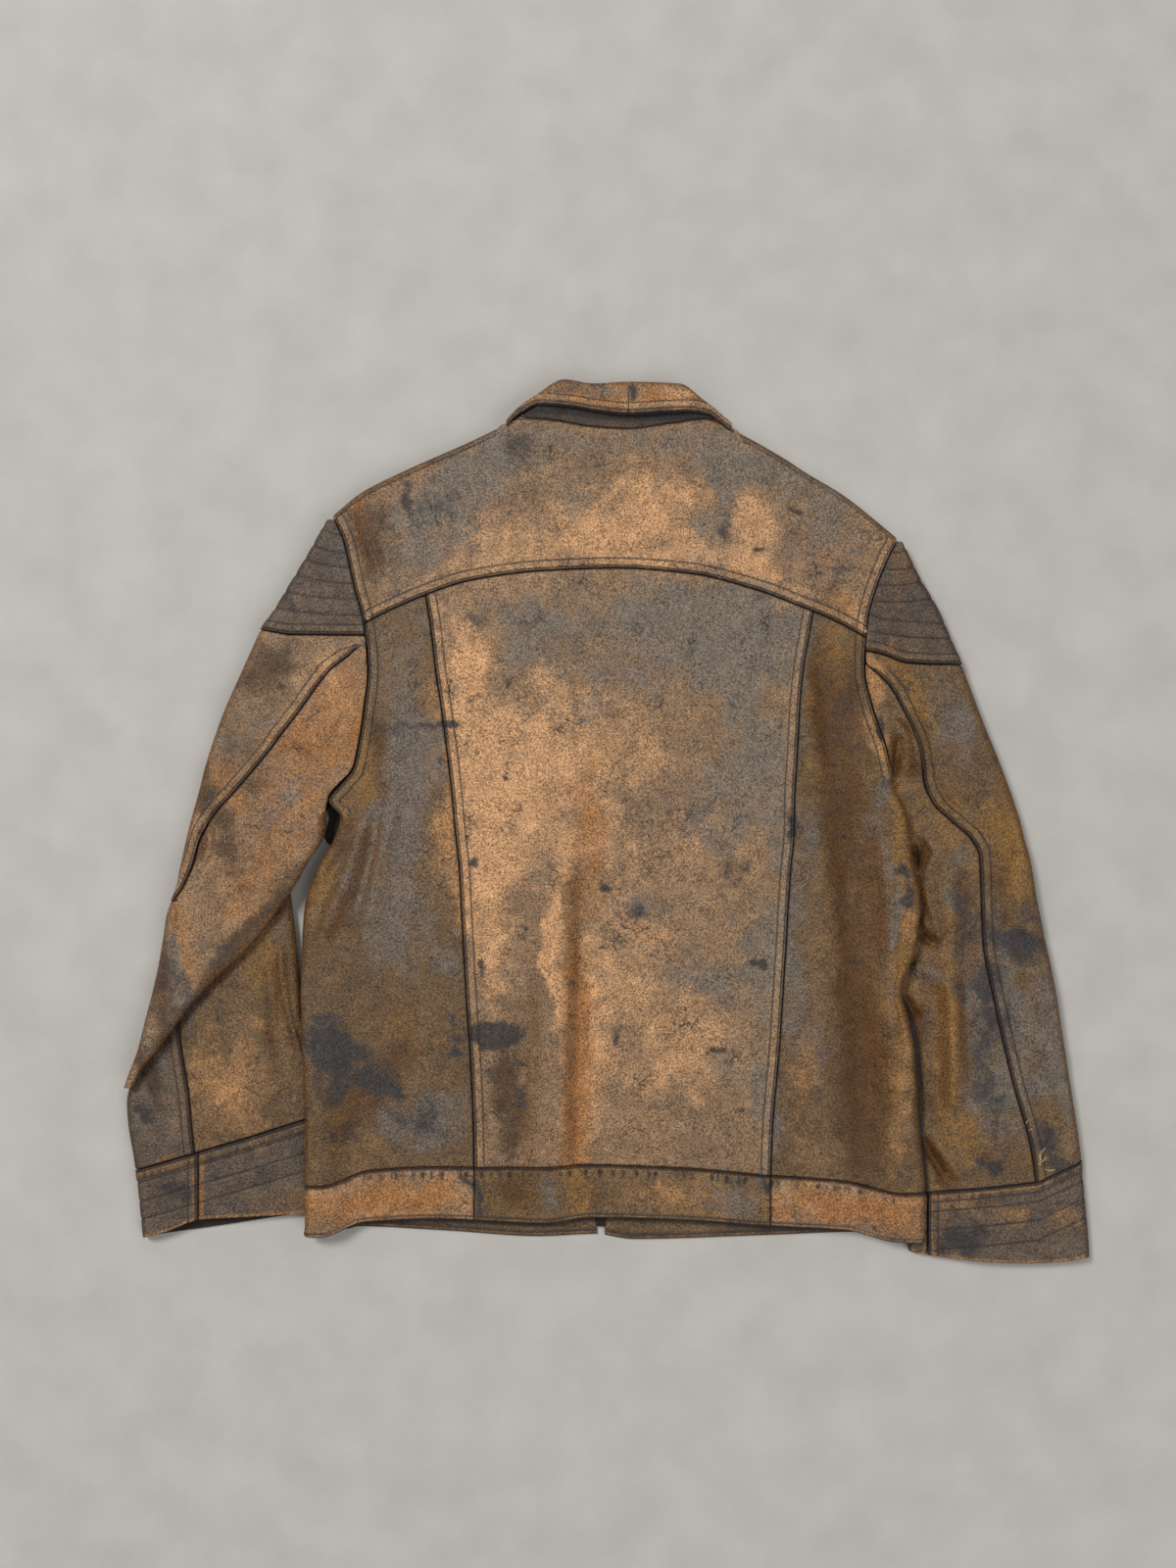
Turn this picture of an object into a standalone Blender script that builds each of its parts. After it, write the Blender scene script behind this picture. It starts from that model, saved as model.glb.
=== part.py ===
"""Worn brown leather zip jacket, laid flat with its back up.

Metres, +Z up. The floor is z = 0, the hem points to -Y and the collar to +Y. The origin is
on the floor, in the middle of the garment. The tables are in millimetres. Every cut piece is
a thin shell: a grid laid over its sections, given the leather's thickness by Solidify.
"""

import math
from collections import namedtuple
from functools import lru_cache

import bmesh
import bpy
import numpy as np

MM = 0.001
WALL = 1.6  # leather with its lining, as one wall
BAND_WALL = 2.4  # waistband and cuffs are folded double
SEAM = 0.25  # each piece stops this far short of its seam line
TUCK_LIFT = 9.0  # how far the body's edge is raised by a sleeve that lies under it
TUCK_REACH = 46.0  # width of the raised strip
FLAP_LIFT = 13.7  # underside of the left upper arm, where it lies over the forearm
COLLAR_LIFT = 2.2  # fronts lie on the collar's turned-over fall near the neck
ZIP_X = -6.5
ZIP_GAP = 3.4  # from the zip's middle to each front's edge
COLLAR_BACK_X = 17.0  # centre-back seam of the collar
NECK_LEFT, NECK_RIGHT = -88.0, 105.0
CENTRE_X, CENTRE_Y = 0.06, 0.16  # middle of the laid garment, taken off every point
TUCKED_HEIGHT = 7.2  # a sleeve pressed flat under the body's edge
TUCK_SLOPE = 55.0  # over which it rises again to its full height
CUFF_HEIGHT = 11.5
ROLL_REACH = 8.0  # how far a rolled edge reaches in
ROLL_STEPS = 4
SHOULDER_ROLL = 4.0
SHOULDER_LIP = 3.0  # flat edge of the fronts beyond the roll
SIDE_SEAM_IN = 20.0  # the side seam lies under the garment, this far in from its edge
LEFT_UNDERARM, RIGHT_UNDERARM = 12.0, 44.0
LAY_ROUNDS = 6  # rounds of fitting a point between its two seam lines
SIDE_COLUMNS = 2  # across each side-back panel
CENTRE_COLUMNS = (2, 8, 2)  # across the centre back, below the shoulder, neck and shoulder
LEFT_ARM_ROWS = (44.0, 72.0, 100.0, 130.0, 161.0)  # rows that meet at the armhole seams
RIGHT_ARM_ROWS = (44.0, 72.0, 100.0, 130.0, 149.0)
LEFT_CAP_ROWS = (170.0, 190.0, 214.0, 240.0)
RIGHT_CAP_ROWS = (159.0, 180.0, 201.0, 223.0)
BODY_ROWS = (-262.0, -215.0, -168.0, -125.0, -82.0, -40.0, LEFT_UNDERARM)
CAP_TOP_LEFT, CAP_TOP_RIGHT = 258.5, 239.5
ZIP_TAPE, ZIP_CHAIN = 26.0, 5.4
BAND_TOP = -294.5  # the waistband's top seam at the zip
YOKE_ENDS = (-210.0, 220.7)  # ends of the yoke seam, at the armholes
SHOULDER_TOP = 265.0
ZIP_SLIDER_WIDTH, ZIP_SLIDER_LENGTH = 6.0, 11.0
SEAM_AT_OUTER = -67.0  # where the left sleeve's back seam goes round its outer edge
FOREARM_TOP_END = -172.0  # the forearm's outer piece ends here, under the flap
LEFT_CORNER = 150.0  # top of the left under-sleeve
RIGHT_SLEEVE_ROWS = (-265.0, -215.0, -165.0, -115.0, -70.0, -30.0, LEFT_UNDERARM)
LEFT_SLEEVE_ROWS = (-40.0, -15.0)
FLAP_ROWS = (-227.0, -202.0, -172.0, -138.0, -102.0)
FOREARM_ROWS = (-238.0, -204.0, FOREARM_TOP_END, -138.0, -102.0, -76.0)
CUFF_ROLL = 5.0
CUFF_LEFT_FRONT_SEAM, CUFF_RIGHT_FRONT_SEAM = -308.0, 318.0
FALL_LEFT_END, FALL_RIGHT_END = -80.0, 101.0
STAND_LEFT, STAND_RIGHT = -70.0, 88.0
FALL_COLUMNS, FALL_TUCK = 7, 8.0
COLLAR_FALL, COLLAR_STAND, COLLAR_FOLD, COLLAR_HEIGHT = 36.0, 26.0, 2.4, 5.0

BodyRow = namedtuple("BodyRow", "y left seam_left seam_right right")
BODY = (
    BodyRow(265, -238, -165, 186, 248),
    BodyRow(244, -228, -163, 184, 247.5),
    BodyRow(229, -224, -162, 182, 241),
    BodyRow(202, -218, -158, 179, 230),
    BodyRow(172, -210, -153, 174, 222),
    BodyRow(130, -206, -148, 167, 219.5),
    BodyRow(100, -209, -143.5, 164, 226),
    BodyRow(62, -215, -138.5, 162, 238.5),
    BodyRow(46, -219, -136.5, 161, 241.5),
    BodyRow(32, -230, -135, 160, 244.5),
    BodyRow(18, -240, -133.5, 159.5, 251),
    BodyRow(6, -231, -132.5, 159.3, 256),
    BodyRow(-10, -235, -131, 159, 258),
    BodyRow(-43, -253, -127.5, 156, 263),
    BodyRow(-73, -262, -126, 154, 267),
    BodyRow(-101, -264, -124.5, 152.5, 265),
    BodyRow(-147, -265, -122, 149.5, 251),
    BodyRow(-163, -264, -121, 148.5, 256),
    BodyRow(-200, -263, -118.5, 146, 263),
    BodyRow(-261, -260.5, -116, 141, 267),
    BodyRow(-315, -261, -115.5, 139.5, 272),
    BodyRow(-365, -261, -116, 140, 272),
)
BodyHeight = namedtuple("BodyHeight", "y height left_lift right_lift")
BODY_HEIGHTS = (
    BodyHeight(350, 15.5, 0, 0),
    BodyHeight(260, 15.0, 0, 0),
    BodyHeight(190, 16.5, 0, 0),
    BodyHeight(100, 17.5, 0, 0),
    BodyHeight(60, 17.5, 0, 0.15),
    BodyHeight(38, 17.5, 0, 1),
    BodyHeight(-120, 17.5, 0, 1),
    BodyHeight(-185, 17.0, 1, 1),
    BodyHeight(-260, 15.0, 1, 1),
    BodyHeight(-305, 13.0, 1, 1),
    BodyHeight(-362, 12.0, 1, 1),
)
Fold = namedtuple("Fold", "x0 y0 x1 y1 rise reach")
BODY_FOLDS = (
    Fold(-50, -350, -42, -40, 6.0, 34),  # long ridge up from the hem
    Fold(-212, 0, -250, -112, 4.5, 20),
    Fold(182, 160, 199, 40, -3.0, 16),
    Fold(206, -20, 234, -285, -4.0, 20),
    Fold(120, 20, 95, -120, 2.5, 45),
    Fold(-175, -150, -190, -270, 2.0, 30),
)

XY = namedtuple("XY", "x y")
YX = namedtuple("YX", "y x")
YOKE_SEAM = (
    XY(-216, 167), XY(-196, 178), XY(-158, 195), XY(-118, 208), XY(-60, 216), XY(8, 218.5),
    XY(70, 214), XY(122, 201.5), XY(165, 185.5), XY(200, 170.5), XY(228, 154),
)
SHOULDER = (
    XY(-246, 258), XY(-230, 271), XY(-215, 283.5), XY(-179, 302), XY(-118, 329),
    XY(-88, 343), XY(-76, 347.5), XY(-50, 346), XY(-16, 340.5), XY(17, 338.5), XY(53, 343),
    XY(84, 346.5), XY(105, 339), XY(150, 315), XY(170, 302), XY(201, 283.5), XY(231, 260),
    XY(256, 239),
)
BAND_SEAM = (
    XY(-275, -311), XY(-248, -312), XY(-202, -299), XY(-150, -296.5), XY(-87, -297),
    XY(-17, -294.5), XY(60, -297), XY(129, -303), XY(204, -309), XY(249, -318), XY(285, -317),
)
HEM_BACK = (
    XY(-275, -356), XY(-248, -356), XY(-209, -344), XY(-151, -341), XY(-55, -345),
    XY(-14, -340), XY(60, -342), XY(133, -347), XY(204, -351), XY(243, -360), XY(285, -361),
)
HEM_FRONT = (
    XY(-275, -356), XY(-240, -355.5), XY(-217, -350), XY(-142, -351.5), XY(-60, -355),
    XY(-12, -352.5), XY(21, -357), XY(137, -354), XY(213, -354.5), XY(243, -360),
    XY(285, -361),
)
NECK_FRONT = (
    XY(-96, 336), XY(-88, 318), XY(-62, 284), XY(-32, 267), XY(-6.5, 262), XY(19, 267),
    XY(52, 283), XY(88, 312), XY(113, 333),
)
COLLAR_EDGE = (
    XY(-89, 342), XY(-76, 354.5), XY(-62, 358), XY(-33, 356), XY(-9, 352), XY(17, 349.5),
    XY(44, 351), XY(70, 352), XY(87, 349), XY(102, 341.5), XY(108, 337),
)
COLLAR_TOP = (
    XY(-90, 342), XY(-86, 347), XY(-76, 357.5), XY(-64, 366), XY(-38, 380), XY(-13, 376.5),
    XY(17, 378), XY(61, 376.5), XY(81, 363.5), XY(96, 351.5), XY(109, 340.5),
)

SleeveRow = namedtuple("SleeveRow", "y inner seam outer height")
SLEEVE_RIGHT = (
    SleeveRow(243, 248, 248, 252, 15),
    SleeveRow(237, 245, 245, 256, 15),
    SleeveRow(212, 234, 234, 268.5, 15),
    SleeveRow(185, 226, 226, 284, 15.5),
    SleeveRow(159, 220.5, 220.5, 295.5, 15.5),
    SleeveRow(138, 219.5, 221, 304, 16),
    SleeveRow(130, 219.9, 229, 307, 16.2),
    SleeveRow(115, 222.5, 243, 312.5, 16.5),
    SleeveRow(87, 230.5, 257, 323, 17),
    SleeveRow(65, 237.7, 266, 332, 17),
    SleeveRow(46, 242, 270, 339.5, 17),
    SleeveRow(34, 241, 272, 344, 17),
    SleeveRow(16, 241, 280, 350.5, 17),
    SleeveRow(1, 245, 295, 355.5, 17),
    SleeveRow(-14, 248, 311, 359, 17),
    SleeveRow(-28, 250, 318, 363, 17),
    SleeveRow(-68, 255, 320, 370, 16.5),
    SleeveRow(-101, 253, 321.5, 377, 16),
    SleeveRow(-148, 243, 330, 386.5, 15.5),
    SleeveRow(-170, 248, 335, 390, 15),
    SleeveRow(-221, 256, 347, 398, 14.5),
    SleeveRow(-283, 260, 364, 407.5, 13.5),
    SleeveRow(-326, 260, 370, 412, 12.5),
    SleeveRow(-360, 259.5, 374, 415, 12),
    SleeveRow(-381, 259.5, 376, 416.3, 12),
)
SLEEVE_LEFT = (
    SleeveRow(262, -236.5, -236.5, -241.5, 15),
    SleeveRow(257, -234, -234, -245, 15),
    SleeveRow(231, -224.5, -224.5, -260, 15),
    SleeveRow(206, -219, -219, -275, 15.5),
    SleeveRow(186, -214, -214, -287, 15.5),
    SleeveRow(166, -209.6, -209.6, -300, 15.5),
    SleeveRow(150, -208, -217, -307.5, 16),
    SleeveRow(130, -206.5, -240, -316.5, 16),
    SleeveRow(95, -210.3, -266, -332, 16.5),
    SleeveRow(61, -215.8, -292, -344, 17),
    SleeveRow(46, -220, -304, -348.5, 17.5),
    SleeveRow(34, -231, -314.5, -351.5, 18),
    SleeveRow(22, -240.5, -325, -354.5, 18.5),
    SleeveRow(10, -242, -336, -358, 19),
    SleeveRow(-10, -244, -348.5, -363, 20),
    SleeveRow(-35, -258, -354.5, -368.5, 21),
    SleeveRow(-53, -268, -359, -372, 21.5),
    SleeveRow(-81, -288, -370, -381, 22),
    SleeveRow(-101, -304, -374, -384, 22),
    SleeveRow(-151, -353, -384, -393.5, 22),
    SleeveRow(-193, -385, -395, -403, 22),
    SleeveRow(-215, -402, -405, -411, 21.5),
    SleeveRow(-228, -408, -410, -415.5, 21),
)
ForearmRow = namedtuple("ForearmRow", "y outer seam inner height")
FOREARM_LEFT = (
    ForearmRow(-48, -289, -289, -276.5, 10.5),
    ForearmRow(-68, -298, -298, -274, 11),
    ForearmRow(-101, -322, -322, -270, 11),
    ForearmRow(-140, -356, -356, -266.5, 11.3),
    ForearmRow(-160, -372, -371, -264.5, 11.3),
    ForearmRow(-172, -384, -370.5, -262, 11.3),
    ForearmRow(-186, -397, -369, -258, 11.3),
    ForearmRow(-203, -405, -366.5, -254, 11.3),
    ForearmRow(-229, -414, -362, -251, 11.8),
    ForearmRow(-241, -416, -360.5, -250.5, 12.5),
    ForearmRow(-258, -415, -359, -250, 13),
    ForearmRow(-296, -409, -355, -250, 13),
    ForearmRow(-365, -402, -351, -250, 12),
)
CAP_SEAM_LEFT = (XY(-320, 168), XY(-300, 166), XY(-270, 161.5), XY(-205, 161))
CAP_SEAM_RIGHT = (XY(214, 149), XY(234, 145), XY(256, 137.5), XY(285, 136), XY(325, 136))
CUFF_LEFT_TOP = (XY(-420, -303.5), XY(-245, -252.5))
CUFF_LEFT_LOW = (
    XY(-412, -360), XY(-402, -358.5), XY(-379, -352), XY(-351, -342), XY(-262, -338.5),
    XY(-245, -338),
)
CUFF_LEFT_LOW_FRONT = (
    XY(-412, -360), XY(-402, -359), XY(-367, -354), XY(-332, -349), XY(-296, -343.5),
    XY(-262, -339), XY(-245, -338),
)
CUFF_RIGHT_TOP = (XY(250, -322.7), XY(370, -309.5), XY(409, -291), XY(420, -286))
CUFF_RIGHT_TOP_FRONT = (XY(250, -322.7), XY(409, -291), XY(420, -286))
CUFF_RIGHT_LOW = (
    XY(250, -369), XY(260, -371), XY(277, -374), XY(312, -378), XY(358, -380), XY(396, -378),
    XY(416, -375), XY(425, -374),
)
CUFF_LEFT_SEAM, CUFF_RIGHT_SEAM = -353.5, 276.0

LEATHER = {
    "tan": ((0.420, 0.190, 0.072), 0.55),
    "brown": ((0.250, 0.120, 0.055), 0.55),
    "dark": ((0.110, 0.062, 0.038), 0.60),
}
TAPE_COLOUR, BRASS_COLOUR = (0.020, 0.018, 0.018), (0.60, 0.42, 0.18)


# ------------------------------------------------------------------ curves and heights
@lru_cache(maxsize=None)
def knots(table, column, key):
    """Places, values and slopes of one column, for a smooth curve without overshoot."""
    rows = sorted(table, key=lambda row: getattr(row, key))
    xs = np.array([getattr(row, key) for row in rows], float)
    ys = np.array([getattr(row, column) for row in rows], float)
    grades = np.diff(ys) / np.diff(xs)
    slopes = [grades[0]]
    for before, after in zip(grades[:-1], grades[1:]):
        slopes.append(0.0 if before * after <= 0 else 2 * before * after / (before + after))
    slopes.append(grades[-1])
    return xs.tolist(), ys.tolist(), slopes


def follow(table, at, column, key="y"):
    """A table's column at a place along its key column."""
    xs, ys, slopes = knots(table, column, key)
    at = min(max(at, xs[0]), xs[-1])
    i = 0
    while i < len(xs) - 2 and at > xs[i + 1]:
        i += 1
    h = xs[i + 1] - xs[i]
    t = (at - xs[i]) / h
    start = ys[i] * (1 + 2 * t) * (1 - t) ** 2 + slopes[i] * h * t * (1 - t) ** 2
    return start + ys[i + 1] * t * t * (3 - 2 * t) + slopes[i + 1] * h * t * t * (t - 1)


def line_of(table, offset=0.0, front=None):
    """A seam line: y for a place (x, z). Below mid height it follows the front's line, if given."""

    def line(x, z):
        table_here = front if front and z < 5.0 else table
        return follow(table_here, x, "y", "x") + offset

    return line


def straight_line_of(table, offset=0.0, front=None):
    """The same, with straight stretches between the table's points."""

    def line(x, z):
        points = front if front and z < 5.0 else table
        return float(np.interp(x, [p.x for p in points], [p.y for p in points])) + offset

    return line


def across(y_left, y_right=None):
    """A row line that runs level over each side, and slopes over the centre back."""
    y_right = y_left if y_right is None else y_right
    return lambda x, z: mix(y_left, y_right, min(max((x + 150.0) / 320.0, 0.0), 1.0))


def between(low, high, places):
    """Row lines between two others."""
    return [lambda x, z, p=place: mix(low(x, z), high(x, z), p) for place in places]


def mix(a, b, t):
    return a + (b - a) * t


def ease(t):
    t = min(max(t, 0.0), 1.0)
    return t * t * (3 - 2 * t)


def folds(table, x, y):
    """The height that the folds add at a point: each is a soft ridge that fades at its ends."""
    total = 0.0
    for fold in table:
        dx, dy = fold.x1 - fold.x0, fold.y1 - fold.y0
        length = math.hypot(dx, dy)
        t = ((x - fold.x0) * dx + (y - fold.y0) * dy) / length**2
        off = abs((x - fold.x0) * dy - (y - fold.y0) * dx) / length
        if off < fold.reach and -0.1 < t < 1.1:
            end = ease((t + 0.1) / 0.35) * ease((1.1 - t) / 0.35)
            total += fold.rise * end * (0.5 + 0.5 * math.cos(math.pi * off / fold.reach))
    return total


def body_left(y):
    return follow(BODY, y, "left")


def body_right(y):
    return follow(BODY, y, "right")


def body_under(x, y):
    """Underside of the front layer: on the floor, and raised at an edge with a sleeve below."""
    left = follow(BODY_HEIGHTS, y, "left_lift") * ease((body_left(y) + TUCK_REACH - x) / 26.0)
    right = follow(BODY_HEIGHTS, y, "right_lift") * ease((x - body_right(y) + TUCK_REACH) / 26.0)
    return TUCK_LIFT * max(left, right)


def neck_lift(x, y):
    """The fronts ride up on the collar's turned-over fall near the neck."""
    return COLLAR_LIFT * ease((y - 190.0) / 22.0) * ease((160.0 - abs(x - 5.0)) / 26.0)


def front_under(x, y):
    return max(body_under(x, y), neck_lift(x, y))


def body_over(x, y):
    """Top of the back layer."""
    height = follow(BODY_HEIGHTS, y, "height")
    return height + 0.62 * body_under(x, y) + folds(BODY_FOLDS, x, y)


def tucked_under(edge_distance, height):
    """Height of a sleeve that is pressed flat where it goes under the body's edge."""
    return mix(TUCKED_HEIGHT, height, ease((edge_distance - 2.0) / TUCK_SLOPE))


def sleeve_right_over(x, y):
    height = follow(SLEEVE_RIGHT, y, "height")
    pressed = tucked_under(x - body_right(y), height)
    return mix(height, pressed, ease((66.0 - y) / 34.0))


def sleeve_right_inner(y):
    if y > RIGHT_UNDERARM + 2:
        return body_right(y) + 2 * SEAM
    return follow(SLEEVE_RIGHT, y, "inner")


def sleeve_left_inner(y):
    return min(follow(SLEEVE_LEFT, y, "inner"), body_left(y) - 2 * SEAM)


def sleeve_left_over(x, y):
    """Rises to the folded edge that lies over the forearm."""
    outer = follow(SLEEVE_LEFT, y, "outer")
    across = (x - outer) / max(sleeve_left_inner(y) - outer, 1.0)
    rest = mix(15.5, 20.5, ease((-110.0 - y) / 70.0))
    return mix(rest, follow(SLEEVE_LEFT, y, "height"), ease(across))


def flap_under(x, y):
    """Underside of the left upper arm: on the floor, then up over the forearm."""
    inner, outer = sleeve_left_inner(y), follow(SLEEVE_LEFT, y, "outer")
    folded = ease((8.0 - y) / 46.0) * ease((x - inner + 44.0) / 28.0)
    outer_raised = ease((-112.0 - y) / 66.0)
    near_outer = ease((outer + 60.0 - x) / 60.0)
    return FLAP_LIFT * max(folded, outer_raised * max(near_outer, ease((-140.0 - y) / 30.0)))


def forearm_over(x, y):
    height = follow(FOREARM_LEFT, y, "height")
    return mix(height, tucked_under(body_left(y) - x, height), ease((-150.0 - y) / 40.0))


def cuff_left_over(x, y):
    return tucked_under(body_left(y) - x, CUFF_HEIGHT)


def cuff_right_over(x, y):
    return tucked_under(x - body_right(y), CUFF_HEIGHT)


def on_floor(x, y):
    return 0.0


# ------------------------------------------------------------------ sections
def level(height, y, x_from, x_to, steps):
    """Points across one layer, from one place to another."""
    xs = [mix(x_from, x_to, k / steps) for k in range(steps + 1)]
    return [(x, height(x, y)) for x in xs]


def roll(edge, reach, low, high, steps, side):
    """Points round a rolled edge: side -1 is a left edge, going up, and 1 a right one, going down."""
    centre, middle, radius = edge - side * reach, 0.5 * (low + high), 0.5 * (high - low)
    angles = [math.pi / 2 - math.pi * k / steps for k in range(1, steps)]
    return [
        (centre + side * reach * math.cos(a), middle + side * radius * math.sin(a)) for a in angles
    ]


def wrap_left(y, edge, reach, under_to, top_to, under, over, steps):
    """From under_to on the underside, left round the edge, and back over the top to top_to."""
    turn = edge + reach
    points = level(under, y, under_to, turn, steps[0])
    points += roll(edge, reach, under(turn, y), over(turn, y), steps[1], -1)
    return points + level(over, y, turn, top_to, steps[2])


def wrap_right(y, edge, reach, top_from, under_to, under, over, steps):
    """From top_from over the top, right round the edge, and back along the underside."""
    turn = edge - reach
    points = level(over, y, top_from, turn, steps[0])
    points += roll(edge, reach, under(turn, y), over(turn, y), steps[1], 1)
    return points + level(under, y, turn, under_to, steps[2])


def edge_reach(width, joined=False):
    """How far a rolled edge reaches in: less on a narrow piece, none where it is joined."""
    return SEAM if joined else min(ROLL_REACH, 0.3 * abs(width))


# ------------------------------------------------------------------ making pieces
def finish(name, colour, roughness, metallic):
    material = bpy.data.materials.new(name)
    material.use_nodes = True
    shader = material.node_tree.nodes["Principled BSDF"]
    shader.inputs["Base Color"].default_value = (*colour, 1.0)
    shader.inputs["Roughness"].default_value = roughness
    shader.inputs["Metallic"].default_value = metallic
    return material


def settle(name, points, material, wall, dropped):
    """A grid laid on the rows of points, less the dropped cells, thickened inwards by the wall."""
    columns, rows = len(points[0]) - 1, len(points) - 1
    bpy.ops.object.select_all(action="DESELECT")
    bpy.ops.mesh.primitive_grid_add(x_subdivisions=columns, y_subdivisions=rows, size=2)
    piece = bpy.context.object
    piece.name = name
    piece.data.name = name
    cells = bmesh.new()
    cells.from_mesh(piece.data)
    middles = [(face, face.calc_center_median()) for face in cells.faces]
    places = [(f, int((m.x + 1) * columns / 2), int((m.y + 1) * rows / 2)) for f, m in middles]
    for vertex in cells.verts:
        i = round((vertex.co.x + 1) * columns / 2)
        j = round((vertex.co.y + 1) * rows / 2)
        x, y, z = points[j][i]
        vertex.co = ((x - CENTRE_X) * MM, (y - CENTRE_Y) * MM, z * MM)
    left_out = [face for face, i, j in places if (i, j) in dropped]
    bmesh.ops.delete(cells, geom=left_out, context="FACES")
    cells.to_mesh(piece.data)
    cells.free()
    piece.data.shade_smooth()
    for collection in list(piece.users_collection):
        collection.objects.unlink(piece)
    jacket.objects.link(piece)
    piece.data.materials.append(material)
    thickness = piece.modifiers.new("leather thickness", "SOLIDIFY")
    thickness.thickness = wall * MM
    thickness.offset = -1.0
    thickness.use_even_offset = True
    return piece


def grid_points(section, lines):
    """Rows of points on the row lines. A section gives its (x, z) points at a height y."""
    points = []
    for k, line in enumerate(lines):
        inset = SEAM if k == 0 else -SEAM if k == len(lines) - 1 else 0.0
        row = []
        for i in range(len(section(0.0))):
            x, z = section(line(0.0, 20.0))[i]
            for _ in range(LAY_ROUNDS):
                y = line(x, z) + inset
                x, z = section(y)[i]
            row.append((x, y, z))
        points.append(row)
    return points


def lay(name, kind, section, lines, wall=WALL, dropped=()):
    """Lays a leather piece on its row lines, from its low seam to its high one."""
    colour, roughness = LEATHER[kind]
    points = grid_points(section, lines)
    settle(name, points, finish(name, colour, roughness, 0.0), wall, set(dropped))
    return points


def cells_of(columns, rows):
    return {(i, j) for i in columns for j in rows}


# ------------------------------------------------------------------ back
def shoulder_seam(x, z):
    """Where the yoke ends: at the fronts' edges, rolled over the shoulders, and at the neck seam."""
    at_neck = NECK_LEFT + 1 < x < NECK_RIGHT - 1
    return follow(SHOULDER, x, "y", "x") - (0.0 if at_neck else SHOULDER_ROLL + SHOULDER_LIP)


def seam_share(column):
    """Where a side-back seam meets the yoke seam, as a share of the yoke's width there."""
    arch, x = line_of(YOKE_SEAM), 0.0
    for _ in range(LAY_ROUNDS):
        x = follow(BODY, arch(x, 20.0), column)
    y = arch(x, 20.0)
    left, right = YOKE_ENDS
    return (x - left) / (right - left), x


def yoke_shares():
    """Columns of the yoke, from 0 to 1: they meet the seams below it and the neck's two ends."""
    left, right = body_left(SHOULDER_TOP), body_right(SHOULDER_TOP)
    neck = [(x - left) / (right - left) for x in (NECK_LEFT, NECK_RIGHT)]
    ends = [0.0, seam_share("seam_left")[0], *neck, seam_share("seam_right")[0], 1.0]
    shares = [0.0]
    for start, end, steps in zip(ends, ends[1:], (SIDE_COLUMNS, *CENTRE_COLUMNS, SIDE_COLUMNS)):
        shares += [mix(start, end, (k + 1) / steps) for k in range(steps)]
    return shares


def make_yoke():
    """One panel across the shoulders. Its rows meet those of the quilted caps at the armholes."""
    arch = line_of(YOKE_SEAM)
    shares = yoke_shares()

    def section(y):
        left, right = body_left(y) + SEAM, body_right(y) - SEAM
        return [(mix(left, right, s), body_over(mix(left, right, s), y)) for s in shares]

    def share_up(y, x):
        return (y - arch(x, 20.0)) / (shoulder_seam(x, 20.0) - arch(x, 20.0))

    lines = [arch]
    for y_left, y_right in zip(LEFT_CAP_ROWS[1:], RIGHT_CAP_ROWS[1:]):
        left, right = body_left(y_left), body_right(y_right)
        ends = (share_up(y_left, left), share_up(y_right, right))

        def line(x, z, left=left, right=right, ends=ends):
            place = mix(*ends, (x - left) / (right - left))
            return mix(arch(x, z), shoulder_seam(x, z), place)

        lines.append(line)
    return lay("yoke", "tan", section, lines + [shoulder_seam])


def body_lines(low, high):
    """Row lines of the body, level at the armholes, with two more up to the top line."""
    lines = [low, *(across(y) for y in BODY_ROWS)]
    lines += [across(*pair) for pair in zip(LEFT_ARM_ROWS, RIGHT_ARM_ROWS)]
    return lines + between(lines[-1], high, (0.5,)) + [high]


def make_back_panels():
    """Centre and two sides. The sides roll round the garment's edge to the side seams."""
    lines = body_lines(line_of(BAND_SEAM), line_of(YOKE_SEAM))
    rows = len(lines) - 1
    shares = yoke_shares()[SIDE_COLUMNS : len(yoke_shares()) - SIDE_COLUMNS]
    shares = [(s - shares[0]) / (shares[-1] - shares[0]) for s in shares]

    def centre(y):
        left = follow(BODY, y, "seam_left") + SEAM
        right = follow(BODY, y, "seam_right") - SEAM
        return [(mix(left, right, s), body_over(mix(left, right, s), y)) for s in shares]

    def left_side(y):
        edge = body_left(y)
        reach = edge_reach(60, joined=y > LEFT_UNDERARM + 1)
        top_to = follow(BODY, y, "seam_left") - SEAM
        under_to = edge + SIDE_SEAM_IN - SEAM
        steps = (1, ROLL_STEPS, SIDE_COLUMNS)
        return wrap_left(y, edge, reach, under_to, top_to, body_under, body_over, steps)

    def right_side(y):
        edge = body_right(y)
        reach = edge_reach(60, joined=y > RIGHT_UNDERARM + 1)
        top_from = follow(BODY, y, "seam_right") + SEAM
        under_to = edge - SIDE_SEAM_IN + SEAM
        steps = (SIDE_COLUMNS, ROLL_STEPS, 1)
        return wrap_right(y, edge, reach, top_from, under_to, body_under, body_over, steps)

    rolled = 1 + ROLL_STEPS
    left_joined = range(len(BODY_ROWS), rows)
    right_joined = range(len(BODY_ROWS) + 1, rows)
    lay("back_centre", "tan", centre, lines)
    lay(
        "back_side_left", "brown", left_side, lines,
        dropped=cells_of(range(rolled), left_joined),
    )
    lay(
        "back_side_right", "brown", right_side, lines,
        dropped=cells_of(range(SIDE_COLUMNS, SIDE_COLUMNS + rolled), right_joined),
    )
    return shares


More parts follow.
